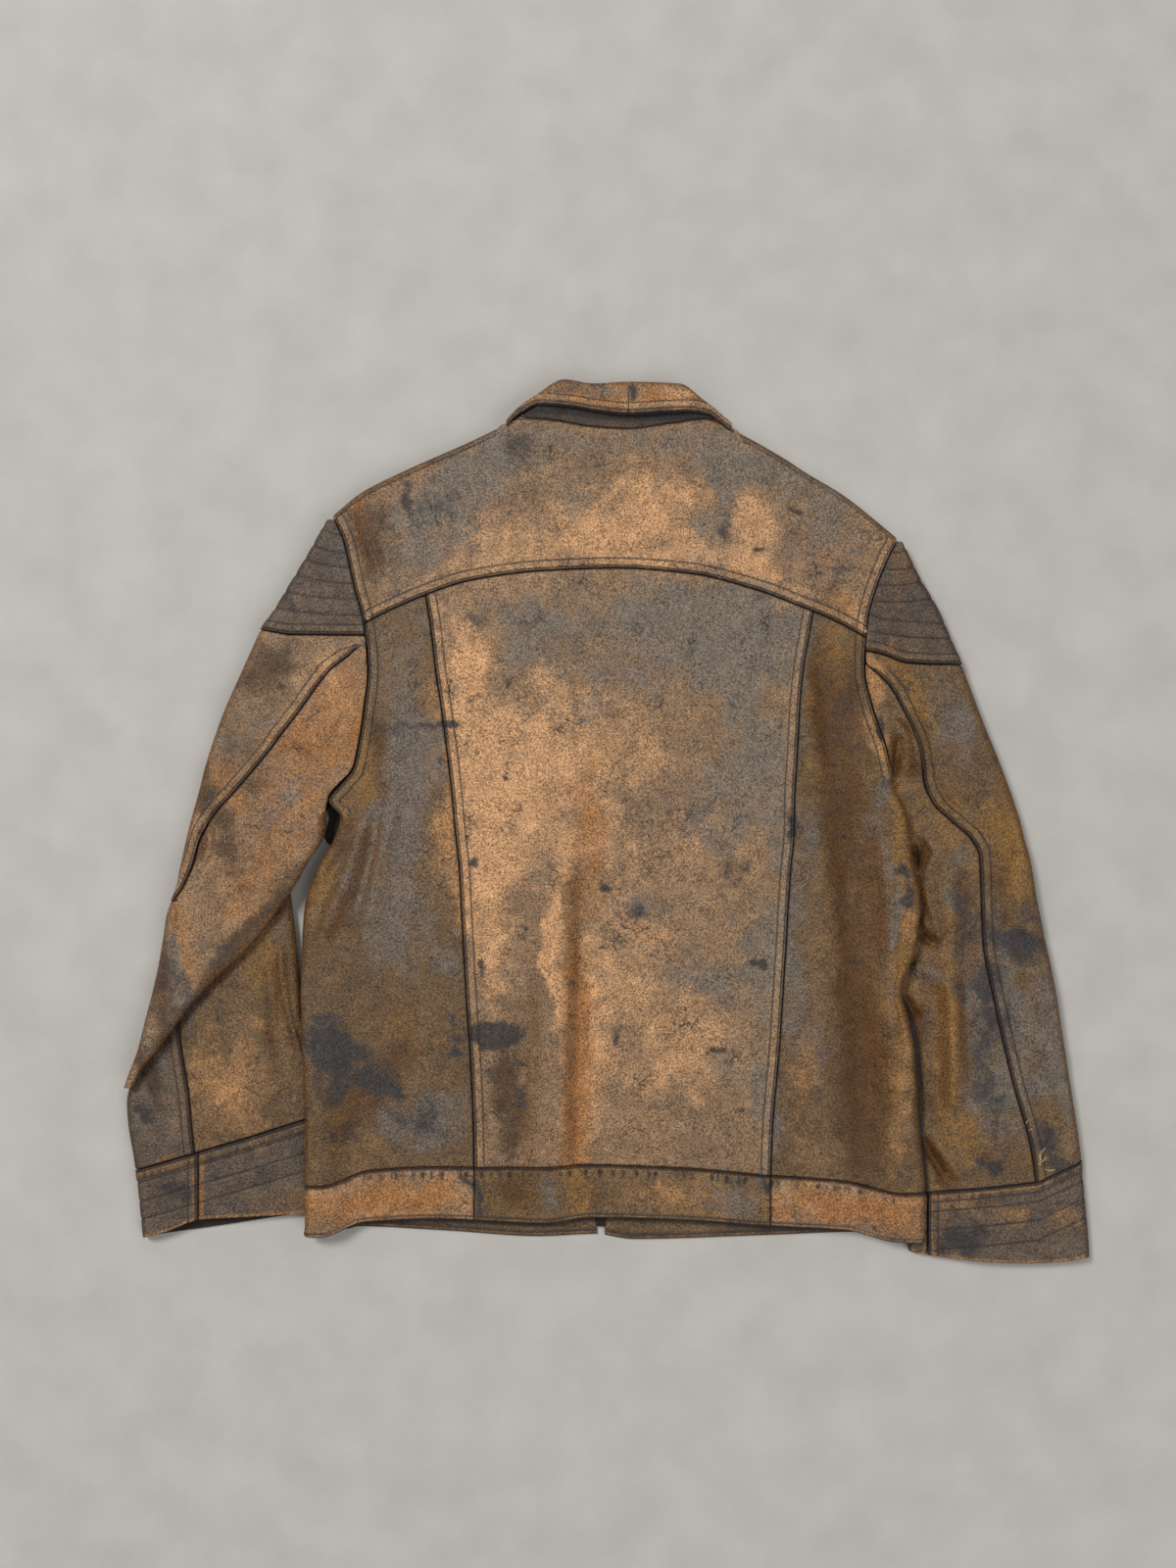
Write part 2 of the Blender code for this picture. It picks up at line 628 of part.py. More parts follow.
def make_waistband(shares):
    """Folded double: a centre piece, two that wrap the sides, and two fronts that end at the zip."""
    low, high = line_of(HEM_BACK, front=HEM_FRONT), line_of(BAND_SEAM)
    lines = [low, *between(low, high, (0.5,)), high]

    def centre(y):
        left = follow(BODY, y, "seam_left") + SEAM
        right = follow(BODY, y, "seam_right") - SEAM
        return [(mix(left, right, s), body_over(mix(left, right, s), y)) for s in shares]

    def left_side(y):
        edge, top_to = body_left(y), follow(BODY, y, "seam_left") - SEAM
        steps = (1, ROLL_STEPS, SIDE_COLUMNS)
        under_to = edge + SIDE_SEAM_IN - SEAM
        return wrap_left(y, edge, ROLL_REACH, under_to, top_to, body_under, body_over, steps)

    def right_side(y):
        edge, top_from = body_right(y), follow(BODY, y, "seam_right") + SEAM
        steps = (SIDE_COLUMNS, ROLL_STEPS, 1)
        under_to = edge - SIDE_SEAM_IN + SEAM
        return wrap_right(y, edge, ROLL_REACH, top_from, under_to, body_under, body_over, steps)

    lay("band_back", "brown", centre, lines, BAND_WALL)
    lay("band_left", "tan", left_side, lines, BAND_WALL)
    lay("band_right", "tan", right_side, lines, BAND_WALL)
    for name, section in front_sections().items():
        lay(f"band_{name}", "brown", section, lines, BAND_WALL)


# ------------------------------------------------------------------ fronts and zip
def front_shares(side):
    """Columns of a front, from the zip (0) to the armhole (1), where the yoke's columns are."""
    left, right = body_left(SHOULDER_TOP), body_right(SHOULDER_TOP)
    zip_edge = ZIP_X + side * ZIP_GAP
    tops = [mix(left, right, s) for s in yoke_shares()]
    beyond = [x for x in tops if side * (x - zip_edge) > 8.0]
    ordered = sorted(beyond, key=lambda x: side * x)
    return [0.0] + [(x - zip_edge) / (ordered[-1] - zip_edge) for x in ordered]


def front_sections():
    """Sections of the two fronts, from the zip to the side seam or armhole."""

    def to_left(y):
        joined = ease((LEFT_ARM_ROWS[0] - y) / (LEFT_ARM_ROWS[0] - LEFT_UNDERARM))
        end = body_left(y) + mix(SEAM, SIDE_SEAM_IN + SEAM, joined)
        xs = [mix(ZIP_X - ZIP_GAP, end, s) for s in left_shares]
        return [(x, front_under(x, y)) for x in xs]

    def to_right(y):
        joined = ease((RIGHT_ARM_ROWS[1] - y) / (RIGHT_ARM_ROWS[1] - RIGHT_UNDERARM))
        end = body_right(y) - mix(SEAM, SIDE_SEAM_IN + SEAM, joined)
        xs = [mix(ZIP_X + ZIP_GAP, end, s) for s in reversed(right_shares)]
        return [(x, front_under(x, y)) for x in xs]

    left_shares, right_shares = front_shares(-1), front_shares(1)
    return {"front_left": to_left, "front_right": to_right}


def make_fronts():
    """Flat on the floor, from the zip to the side seam and armhole, rolled up over the shoulder."""

    def top(x, z):
        if NECK_LEFT + 1 < x < NECK_RIGHT - 1:
            return follow(NECK_FRONT, x, "y", "x")
        return follow(SHOULDER, x, "y", "x") - SHOULDER_ROLL

    low = line_of(BAND_SEAM)
    arm_rows = {"front_left": LEFT_ARM_ROWS, "front_right": RIGHT_ARM_ROWS}
    cap_rows = {"front_left": LEFT_CAP_ROWS, "front_right": RIGHT_CAP_ROWS}
    turn_rows = {}
    for name, section in front_sections().items():
        levels = (*BODY_ROWS, *arm_rows[name], *cap_rows[name])
        rows = grid_points(section, [low, *(across(y) for y in levels), top])
        flat_rows, at_turn = len(rows) - 1, rows[-1]
        for k in range(1, ROLL_STEPS + 1):
            angle = math.pi * k / ROLL_STEPS - math.pi / 2
            rows.append([
                (
                    x,
                    y + SHOULDER_ROLL * math.cos(angle),
                    mix(z, body_over(x, y), 0.5 + 0.5 * math.sin(angle)),
                )
                for x, y, z in at_turn
            ])
        rows.append([(x, y - SHOULDER_LIP + SEAM, body_over(x, y)) for x, y, z in at_turn])
        at_neck = [
            i for i in range(len(at_turn) - 1)
            if NECK_LEFT < 0.5 * (at_turn[i][0] + at_turn[i + 1][0]) < NECK_RIGHT
        ]
        dropped = cells_of(at_neck, range(flat_rows, len(rows) - 1))
        colour, roughness = LEATHER["brown"]
        settle(name, rows, finish(name, colour, roughness, 0.0), WALL, dropped)
        turn_rows[name] = at_turn
    return turn_rows


def make_zip():
    """Closed, face down: one tape across both fronts' edges, the chain between them, the slider."""

    def tape_under(x, y):
        return neck_lift(x, y) + mix(WALL, BAND_WALL, ease((BAND_TOP + 6.0 - y) / 6.0)) + 0.6

    def chain_under(x, y):
        return neck_lift(x, y) + 0.2

    def tape(y):
        return level(tape_under, y, ZIP_X + ZIP_TAPE / 2, ZIP_X - ZIP_TAPE / 2, 2)

    def chain(y):
        return level(chain_under, y, ZIP_X + ZIP_CHAIN / 2, ZIP_X - ZIP_CHAIN / 2, 2)

    hem = line_of(HEM_FRONT, offset=3.0)
    neck = line_of(NECK_FRONT, offset=-1.0)
    below_slider = line_of(NECK_FRONT, offset=-ZIP_SLIDER_LENGTH - 3.0)
    levels = [across(y) for y in (BAND_TOP - 6.0, BAND_TOP + 6.0, -60.0, 188.0, 200.0, 214.0)]
    tape_material = finish("zip_tape", TAPE_COLOUR, 0.9, 0.0)
    chain_material = finish("zip_chain", BRASS_COLOUR, 0.4, 1.0)
    slider_material = finish("zip_slider", BRASS_COLOUR, 0.35, 1.0)
    tape_rows = grid_points(tape, [hem, *levels, neck])
    chain_rows = grid_points(chain, [hem, *levels, below_slider])
    settle("zip_tape", tape_rows, tape_material, 0.8, set())
    settle("zip_chain", chain_rows, chain_material, 1.4, set())
    top = neck(ZIP_X, 0.0) - 2.0
    bpy.ops.object.select_all(action="DESELECT")
    bpy.ops.mesh.primitive_cube_add(size=1)
    slider = bpy.context.object
    slider.name = "zip_slider"
    for vertex in slider.data.vertices:
        aside, up, high = vertex.co
        narrow = 1.0 if up > 0 else 0.72
        x = ZIP_X + aside * ZIP_SLIDER_WIDTH * narrow
        y = top - ZIP_SLIDER_LENGTH * (0.5 - up)
        z = neck_lift(ZIP_X, top) + 0.1 + 1.5 * (high + 0.5)
        vertex.co = ((x - CENTRE_X) * MM, (y - CENTRE_Y) * MM, z * MM)
    for collection in list(slider.users_collection):
        collection.objects.unlink(slider)
    jacket.objects.link(slider)
    slider.data.materials.append(slider_material)


# ------------------------------------------------------------------ sleeves
def make_caps():
    """Quilted shoulder pieces, from the back armhole round the outer edge to the front armhole."""

    def left(y):
        edge, arm = follow(SLEEVE_LEFT, y, "outer"), body_left(y) - SEAM
        reach = edge_reach(arm - edge)
        return wrap_left(y, edge, reach, arm, arm, on_floor, body_over, (3, ROLL_STEPS, 3))

    def right(y):
        edge, arm = follow(SLEEVE_RIGHT, y, "outer"), body_right(y) + SEAM
        reach = edge_reach(edge - arm)
        return wrap_right(y, edge, reach, arm, arm, on_floor, body_over, (3, ROLL_STEPS, 3))

    left_lines = [
        line_of(CAP_SEAM_LEFT, offset=SEAM),
        *(across(y) for y in (*LEFT_CAP_ROWS, CAP_TOP_LEFT)),
    ]
    right_lines = [
        line_of(CAP_SEAM_RIGHT, offset=SEAM),
        *(across(y) for y in (*RIGHT_CAP_ROWS, CAP_TOP_RIGHT)),
    ]
    lay("cap_left", "dark", left, left_lines)
    lay("cap_right", "dark", right, right_lines)


def front_share(y, top):
    """Place of the hidden front seam, from the sleeve's inner edge (0) to its outer one (1)."""
    return mix(0.0, 0.36, ease((top - y) / 80.0))


def corner_line(y, x, side):
    """Top of an under-sleeve: level, then up into the corner where its back seam meets the armhole."""
    return lambda at, z: y + (max(0.0, side * (x - at)) * 0.95 if z > 5.0 else 0.0)


def make_right_sleeve():
    """Two pieces: the top one round the outer edge, the under one round the inner edge."""
    corner = RIGHT_ARM_ROWS[3]

    def front_seam(y):
        inner, outer = sleeve_right_inner(y), follow(SLEEVE_RIGHT, y, "outer")
        return mix(inner, outer, front_share(y, corner))

    def top_piece(y):
        edge = follow(SLEEVE_RIGHT, y, "outer")
        seam = max(follow(SLEEVE_RIGHT, y, "seam"), body_right(y) if y > corner + 1 else 0.0)
        reach = edge_reach(edge - seam)
        return wrap_right(
            y, edge, reach, seam + SEAM, front_seam(y) + SEAM, on_floor, sleeve_right_over,
            (3, ROLL_STEPS, 3),
        )

    def under_piece(y):
        edge = sleeve_right_inner(y)
        reach = edge_reach(30, joined=y > RIGHT_UNDERARM + 1)
        top_to = follow(SLEEVE_RIGHT, y, "seam") - SEAM
        return wrap_left(
            y, edge, reach, front_seam(y) - SEAM, top_to, on_floor, sleeve_right_over,
            (2, ROLL_STEPS, 3),
        )

    low = straight_line_of(CUFF_RIGHT_TOP, front=CUFF_RIGHT_TOP_FRONT)
    shared = [low, *(across(y) for y in (*RIGHT_SLEEVE_ROWS, *RIGHT_ARM_ROWS[:4]))]
    lay("sleeve_right_top", "brown", top_piece, shared + [line_of(CAP_SEAM_RIGHT)])
    corner_x = follow(SLEEVE_RIGHT, corner, "seam")
    under_lines = shared[:-1] + [corner_line(corner, corner_x, 1)]
    joined = range(len(RIGHT_SLEEVE_ROWS) + 1, len(under_lines) - 1)
    lay(
        "sleeve_right_under", "brown", under_piece, under_lines,
        dropped=cells_of(range(2, 2 + ROLL_STEPS), joined),
    )


def make_left_sleeve():
    """The elbow is folded: the upper arm ends in a flap that lies over the forearm."""
    corner = LEFT_CORNER

    def flap_return(y):
        """How far the folded-under leather reaches below the flap."""
        inner, outer = sleeve_left_inner(y), follow(SLEEVE_LEFT, y, "outer")
        full = mix(inner, outer, front_share(y, corner))
        tucked = inner - min(18.0, 0.4 * (inner - outer))
        return mix(full, tucked, ease((4.0 - y) / 46.0))

    def top_piece(y):
        edge = follow(SLEEVE_LEFT, y, "outer")
        seam = follow(SLEEVE_LEFT, y, "seam")
        if y > corner + 1:
            seam = body_left(y)
        reach = edge_reach(seam - edge)
        under_to = flap_return(y) - SEAM - 8.0 * ease((4.0 - y) / 46.0)
        return wrap_left(
            y, edge, reach, under_to, seam - SEAM, on_floor, sleeve_left_over,
            (3, ROLL_STEPS, 3),
        )

    def under_piece(y):
        outer, inner = follow(SLEEVE_LEFT, y, "outer"), sleeve_left_inner(y)
        reach_in = edge_reach(inner - outer, joined=y > LEFT_UNDERARM + 1)
        seam = follow(SLEEVE_LEFT, y, "seam")
        start_reach = edge_reach(inner - outer)
        edge = mix(seam + SEAM - start_reach, outer, ease((SEAM_AT_OUTER - y) / 6.0))
        turn = edge + start_reach
        low_z, high_z = flap_under(turn, y), sleeve_left_over(turn, y)
        points = [(turn, low_z)] + roll(edge, start_reach, low_z, high_z, ROLL_STEPS, -1)
        return points + wrap_right(
            y, inner, reach_in, turn, flap_return(y) + SEAM, flap_under, sleeve_left_over,
            (3, ROLL_STEPS, 2),
        )

    at_outer = across(SEAM_AT_OUTER)
    shared = [across(y) for y in (*LEFT_SLEEVE_ROWS, LEFT_UNDERARM, *LEFT_ARM_ROWS[:4])]
    top_lines = [at_outer, *shared, across(corner), line_of(CAP_SEAM_LEFT)]
    lay("sleeve_left_top", "tan", top_piece, top_lines)
    corner_x = follow(SLEEVE_LEFT, corner, "seam")
    flap_lines = [across(y) for y in FLAP_ROWS]
    under_lines = [*flap_lines, at_outer, *shared, corner_line(corner, corner_x, -1)]
    last = len(under_lines) - 1
    above_seam = range(len(flap_lines), last)
    joined = range(len(flap_lines) + len(LEFT_SLEEVE_ROWS) + 1, last)
    lay(
        "sleeve_left_under", "tan", under_piece, under_lines,
        dropped=cells_of(range(ROLL_STEPS), above_seam)
        | cells_of(range(ROLL_STEPS + 3, 2 * ROLL_STEPS + 3), joined),
    )


def make_left_forearm():
    """The stretch of the left sleeve below the folded elbow: its seam comes out from the flap."""

    def seam_top(y):
        return follow(FOREARM_LEFT, y, "seam")

    def front_seam(y):
        inner, outer = follow(FOREARM_LEFT, y, "inner"), follow(FOREARM_LEFT, y, "outer")
        return mix(mix(inner, outer, 0.36), seam_top(y), ease((y + 204.0) / 36.0))

    def under_piece(y):
        edge = follow(FOREARM_LEFT, y, "inner")
        reach = edge_reach(edge - seam_top(y))
        return wrap_right(
            y, edge, reach, seam_top(y) + SEAM, front_seam(y) + SEAM, on_floor, forearm_over,
            (3, ROLL_STEPS, 3),
        )

    def top_piece(y):
        hidden = ease((y - FOREARM_TOP_END) / 6.0)
        below_flap = follow(SLEEVE_LEFT, y, "outer") + 12.0
        edge = mix(follow(FOREARM_LEFT, y, "outer"), below_flap, hidden)
        reach = mix(edge_reach(seam_top(y) - edge), 1.0, hidden)
        return wrap_left(
            y, edge, reach, front_seam(y) - SEAM, seam_top(y) - SEAM, on_floor, forearm_over,
            (3, ROLL_STEPS, 1),
        )

    low = straight_line_of(CUFF_LEFT_TOP, offset=2 * SEAM)
    shared = [low, *(across(y) for y in FOREARM_ROWS)]
    lay("forearm_left_under", "brown", under_piece, shared + [across(-50.0)])
    hidden_rows = range(FOREARM_ROWS.index(FOREARM_TOP_END) + 1, len(shared) - 1)
    lay(
        "forearm_left_top", "dark", top_piece, shared,
        dropped=cells_of(range(3, 3 + ROLL_STEPS + 1), hidden_rows),
    )


def make_cuffs():
    """Folded double, each of two pieces, with the back seam in view and the other one below."""

    def left_outer(y):
        return wrap_left(
            y, follow(FOREARM_LEFT, y, "outer"), ROLL_REACH, CUFF_LEFT_FRONT_SEAM - SEAM,
            CUFF_LEFT_SEAM - SEAM, on_floor, cuff_left_over, (3, ROLL_STEPS, 2),
        )

    def left_inner(y):
        return wrap_right(
            y, follow(FOREARM_LEFT, y, "inner"), ROLL_REACH, CUFF_LEFT_SEAM + SEAM,
            CUFF_LEFT_FRONT_SEAM + SEAM, on_floor, cuff_left_over, (3, ROLL_STEPS, 2),
        )

    def right_inner(y):
        return wrap_left(
            y, follow(SLEEVE_RIGHT, y, "inner"), CUFF_ROLL, CUFF_RIGHT_FRONT_SEAM - SEAM,
            CUFF_RIGHT_SEAM - SEAM, on_floor, cuff_right_over, (2, ROLL_STEPS, 1),
        )

    def right_outer(y):
        return wrap_right(
            y, follow(SLEEVE_RIGHT, y, "outer"), ROLL_REACH, CUFF_RIGHT_SEAM + SEAM,
            CUFF_RIGHT_FRONT_SEAM + SEAM, on_floor, cuff_right_over, (4, ROLL_STEPS, 3),
        )

    low, high = line_of(CUFF_LEFT_LOW, front=CUFF_LEFT_LOW_FRONT), straight_line_of(CUFF_LEFT_TOP)
    lines = [low, *between(low, high, (0.5,)), high]
    lay("cuff_left_outer", "dark", left_outer, lines, BAND_WALL)
    lay("cuff_left_inner", "dark", left_inner, lines, BAND_WALL)
    low = line_of(CUFF_RIGHT_LOW)
    high = straight_line_of(CUFF_RIGHT_TOP, front=CUFF_RIGHT_TOP_FRONT)
    lines = [low, *between(low, high, (0.5,)), high]
    lay("cuff_right_inner", "dark", right_inner, lines, BAND_WALL)
    lay("cuff_right_outer", "dark", right_outer, lines, BAND_WALL)


# ------------------------------------------------------------------ collar
def make_collar_back(neck_xs):
    """The stand rises from the neck seam; the fall turns over it, seamed at the centre back."""

    def stand_height(x, y):
        return mix(15.6, 16.8, ease((y - 342.0) / 20.0))

    def fall_height(x, y):
        return 21.8 - 3.0 * ease((abs(x - 10.0) - 45.0) / 50.0)

    def stand(y):
        return [(x, stand_height(x, y)) for x in neck_xs if STAND_LEFT < x < STAND_RIGHT]

    stand_top = line_of(COLLAR_TOP, offset=-9.5)
    lay(
        "collar_stand", "dark", stand,
        [line_of(SHOULDER), *between(line_of(SHOULDER), stand_top, (0.5,)), stand_top],
    )
    edge, outline = line_of(COLLAR_EDGE), line_of(COLLAR_TOP)
    for name, x_from, x_to in (
        ("collar_fall_left", FALL_LEFT_END, COLLAR_BACK_X - SEAM),
        ("collar_fall_right", COLLAR_BACK_X + SEAM, FALL_RIGHT_END),
    ):
        rows = [[] for _ in range(3 + ROLL_STEPS + 1)]
        for k in range(FALL_COLUMNS + 1):
            x = mix(x_from, x_to, k / FALL_COLUMNS)
            width = outline(x, 20) - edge(x, 20)
            reach = min(4.5, 0.3 * width)
            turn = outline(x, 20) - reach
            for j in range(3):
                y = mix(edge(x, 20), turn, j / 2)
                rows[j].append((x, y, fall_height(x, y)))
            top = fall_height(x, turn)
            bottom = mix(12.6, 6.5, ease((abs(x - 10.0) - 45.0) / 35.0))
            for j in range(1, ROLL_STEPS + 1):
                angle = math.pi / 2 - math.pi * j / ROLL_STEPS
                y = turn + reach * math.cos(angle)
                z = mix(bottom, top, 0.5 + 0.5 * math.sin(angle))
                rows[2 + j].append((x, y, z))
            tucked = min(FALL_TUCK, 0.6 * width)
            rows[3 + ROLL_STEPS].append((x, turn - tucked, bottom))
        colour, roughness = LEATHER["tan"]
        settle(name, rows, finish(name, colour, roughness, 0.0), WALL, set())


def make_collar_fronts(turn_rows):
    """Flat on the floor under the fronts: the fall, folded over to the stand at the neckline."""
    for name, side in (("front_left", -1), ("front_right", 1)):
        neckline = [
            (x, y) for x, y, z in turn_rows[name] if NECK_LEFT - 1 < x < NECK_RIGHT + 1
        ]
        neckline.sort()
        rows = []
        for k, (x, y) in enumerate(neckline):
            before, after = neckline[max(k - 1, 0)], neckline[min(k + 1, len(neckline) - 1)]
            run, rise = after[0] - before[0], after[1] - before[1]
            size = math.hypot(run, rise)
            inward = (-rise / size, run / size)
            if k == (0 if side > 0 else len(neckline) - 1):
                inward = (0.0, 1.0)
            if k == (0 if side < 0 else len(neckline) - 1):
                x, y = mix(x, before[0] + after[0] - x, 0.1), mix(y, before[1] + after[1] - y, 0.1)
            fold = COLLAR_STAND - COLLAR_FOLD
            offsets = [(-COLLAR_FALL, 0.0), (-COLLAR_FALL / 2, 0.0), (0.0, 0.0), (fold, 0.0)]
            for j in range(1, ROLL_STEPS):
                angle = math.pi * j / ROLL_STEPS - math.pi / 2
                offsets.append((
                    fold + COLLAR_FOLD * math.cos(angle),
                    COLLAR_HEIGHT * (0.5 + 0.5 * math.sin(angle)),
                ))
            offsets += [(fold, COLLAR_HEIGHT), (2.5 * SEAM, COLLAR_HEIGHT)]
            rows.append([(x + inward[0] * s, y + inward[1] * s, z) for s, z in offsets])
        colour, roughness = LEATHER["brown"]
        material = finish(f"collar_{name}", colour, roughness, 0.0)
        settle(f"collar_{name}", rows, material, WALL, set())


# ------------------------------------------------------------------ the whole jacket
for old in list(bpy.data.objects):
    bpy.data.objects.remove(old, do_unlink=True)
jacket = bpy.data.collections.new("leather_jacket")
bpy.context.scene.collection.children.link(jacket)

yoke_rows = make_yoke()
centre_shares = make_back_panels()
make_waistband(centre_shares)
front_turns = make_fronts()
make_zip()
make_caps()
make_right_sleeve()
make_left_sleeve()
make_left_forearm()
make_cuffs()
make_collar_back([x for x, y, z in yoke_rows[-1]])
make_collar_fronts(front_turns)
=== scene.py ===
import math
import time

import bpy
import numpy as np
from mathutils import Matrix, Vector
from mathutils.bvhtree import BVHTree


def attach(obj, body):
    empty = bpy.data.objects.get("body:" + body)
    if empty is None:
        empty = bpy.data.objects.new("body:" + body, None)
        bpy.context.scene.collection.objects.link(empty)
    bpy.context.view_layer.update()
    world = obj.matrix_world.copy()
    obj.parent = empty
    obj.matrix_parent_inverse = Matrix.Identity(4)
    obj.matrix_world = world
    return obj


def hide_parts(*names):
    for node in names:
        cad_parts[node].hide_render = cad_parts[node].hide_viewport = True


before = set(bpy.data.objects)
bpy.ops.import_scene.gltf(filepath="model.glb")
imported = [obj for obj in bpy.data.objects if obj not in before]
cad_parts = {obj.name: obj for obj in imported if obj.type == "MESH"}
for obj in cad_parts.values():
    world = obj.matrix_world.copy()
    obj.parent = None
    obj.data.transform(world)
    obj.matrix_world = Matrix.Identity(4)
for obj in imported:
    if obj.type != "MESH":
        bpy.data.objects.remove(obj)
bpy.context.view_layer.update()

started = time.time()

# Lengths in the tables are millimetres, +X to the right, +Y from the hem to the collar.
jacket = {
    "wall": 1.5,  # leather with its lining
    "bandWall": 2.2,  # waistband and cuffs are folded double
    "gap": 0.25,  # each piece stops this far short of its seam
    "middleX": 0.06,  # the middle of the laid garment
    "middleY": 0.16,
    "step": 2.5,  # mesh spacing where nothing happens
    "hiddenStep": 7.0,  # the same on the side that lies on the floor
    "rollReach": 8.0,  # how far a rolled edge reaches in
    "sideSeamIn": 20.0,  # the side seam lies below, this far in from the edge
    "leftUnderarm": 12.0,
    "rightUnderarm": 44.0,
    "zipX": -6.5,
    "zipGap": 3.4,
    "collarBackX": 17.0,
    "neckLeft": -88.0,
    "neckRight": 105.0,
}
lift = {
    "tuck": 9.0,  # the body's edge is raised this much by a sleeve below it
    "tuckReach": 46.0,
    "tuckedHeight": 7.2,  # a sleeve pressed flat under the body
    "tuckSlope": 55.0,
    "flap": 13.7,  # underside of the upper arm that lies over the forearm
    "collar": 2.2,
    "cuff": 11.5,
}


def mix(a, b, t):
    return a + (b - a) * t


def ease(t):
    t = np.clip(t, 0.0, 1.0)
    return t * t * (3 - 2 * t)


def hump(t, width):  # 1 at t = 0, fading out over a few widths
    return np.exp(-((t / width) ** 2))


def table(names, rows):  # named columns, sorted by the first one
    rows = sorted(rows)
    found = {name: np.array([row[i] for row in rows], float) for i, name in enumerate(names.split())}
    found["key"] = names.split()[0]
    return found


def follow(rows, at, column):  # a smooth curve through a column, without overshoot
    slopesName = column + "Slopes"
    xs, ys = rows[rows["key"]], rows[column]
    if slopesName not in rows:
        grades = np.diff(ys) / np.diff(xs)
        a, b = grades[:-1], grades[1:]
        inner = np.where(a * b > 0, 2 * a * b / np.where(a + b == 0, 1, a + b), 0.0)
        rows[slopesName] = np.concatenate([[grades[0]], inner, [grades[-1]]])
    slopes = rows[slopesName]
    at = np.clip(at, xs[0], xs[-1])
    i = np.clip(np.searchsorted(xs, at) - 1, 0, len(xs) - 2)
    h = xs[i + 1] - xs[i]
    t = (at - xs[i]) / h
    start = ys[i] * (1 + 2 * t) * (1 - t) ** 2 + slopes[i] * h * t * (1 - t) ** 2
    return start + ys[i + 1] * t * t * (3 - 2 * t) + slopes[i + 1] * h * t * t * (t - 1)


def lean(line, at):  # how much longer a step across a slanting line is than one square to it
    return np.sqrt(1 + ((line(at + 1.5) - line(at - 1.5)) / 3.0) ** 2)


bodyRows = table("y left seamLeft seamRight right", [
    (265, -238, -165, 186, 248), (244, -228, -163, 184, 247.5), (229, -224, -162, 182, 241),
    (202, -218, -158, 179, 230), (172, -210, -153, 174, 222), (130, -206, -148, 167, 219.5),
    (100, -209, -143.5, 164, 226), (62, -215, -138.5, 162, 238.5), (46, -219, -136.5, 161, 241.5),
    (32, -230, -135, 160, 244.5), (18, -240, -133.5, 159.5, 251), (6, -231, -132.5, 159.3, 256),
    (-10, -235, -131, 159, 258), (-43, -253, -127.5, 156, 263), (-73, -262, -126, 154, 267),
    (-101, -264, -124.5, 152.5, 265), (-147, -265, -122, 149.5, 251), (-163, -264, -121, 148.5, 256),
    (-200, -263, -118.5, 146, 263), (-261, -260.5, -116, 141, 267), (-315, -261, -115.5, 139.5, 272),
    (-365, -261, -116, 140, 272),
])
bodyHeights = table("y height leftLift rightLift", [
    (350, 15.5, 0, 0), (260, 15.0, 0, 0), (190, 16.5, 0, 0), (100, 17.5, 0, 0), (60, 17.5, 0, 0.15),
    (38, 17.5, 0, 1), (-120, 17.5, 0, 1), (-185, 17.0, 1, 1), (-260, 15.0, 1, 1), (-305, 13.0, 1, 1),
    (-362, 12.0, 1, 1),
])
yokeSeam = table("x y", [
    (-216, 167), (-196, 178), (-158, 195), (-118, 208), (-60, 216), (8, 218.5), (70, 214),
    (122, 201.5), (165, 185.5), (200, 170.5), (228, 154),
])
shoulder = table("x y", [
    (-246, 258), (-230, 271), (-215, 283.5), (-179, 302), (-118, 329), (-88, 343), (-76, 347.5),
    (-50, 346), (-16, 340.5), (17, 338.5), (53, 343), (84, 346.5), (105, 339), (150, 315),
    (170, 302), (201, 283.5), (231, 260), (256, 239),
])
bandSeam = table("x y", [
    (-275, -311), (-248, -312), (-202, -299), (-150, -296.5), (-87, -297), (-17, -294.5),
    (60, -297), (129, -303), (204, -309), (249, -318), (285, -317),
])
hemBack = table("x y", [
    (-275, -356), (-248, -356), (-209, -344), (-151, -341), (-55, -345), (-14, -340), (60, -342),
    (133, -347), (204, -351), (243, -360), (285, -361),
])
hemFront = table("x y", [
    (-275, -356), (-240, -355.5), (-217, -350.5), (-142, -354), (-60, -359), (-12, -357),
    (21, -361.5), (137, -358), (213, -355.5), (243, -360), (285, -361),
])
neckFront = table("x y", [
    (-96, 336), (-88, 318), (-62, 284), (-32, 267), (-6.5, 262), (19, 267), (52, 283), (88, 312),
    (113, 333),
])
collarEdge = table("x y", [
    (-89, 342), (-76, 354.5), (-62, 358), (-33, 356), (-9, 352), (17, 349.5), (44, 351),
    (70, 352), (87, 349), (102, 341.5), (108, 337),
])
collarTop = table("x y", [
    (-90, 342), (-86, 347), (-76, 357.5), (-64, 366), (-38, 380), (-13, 376.5), (17, 378),
    (61, 376.5), (81, 363.5), (96, 351.5), (109, 340.5),
])
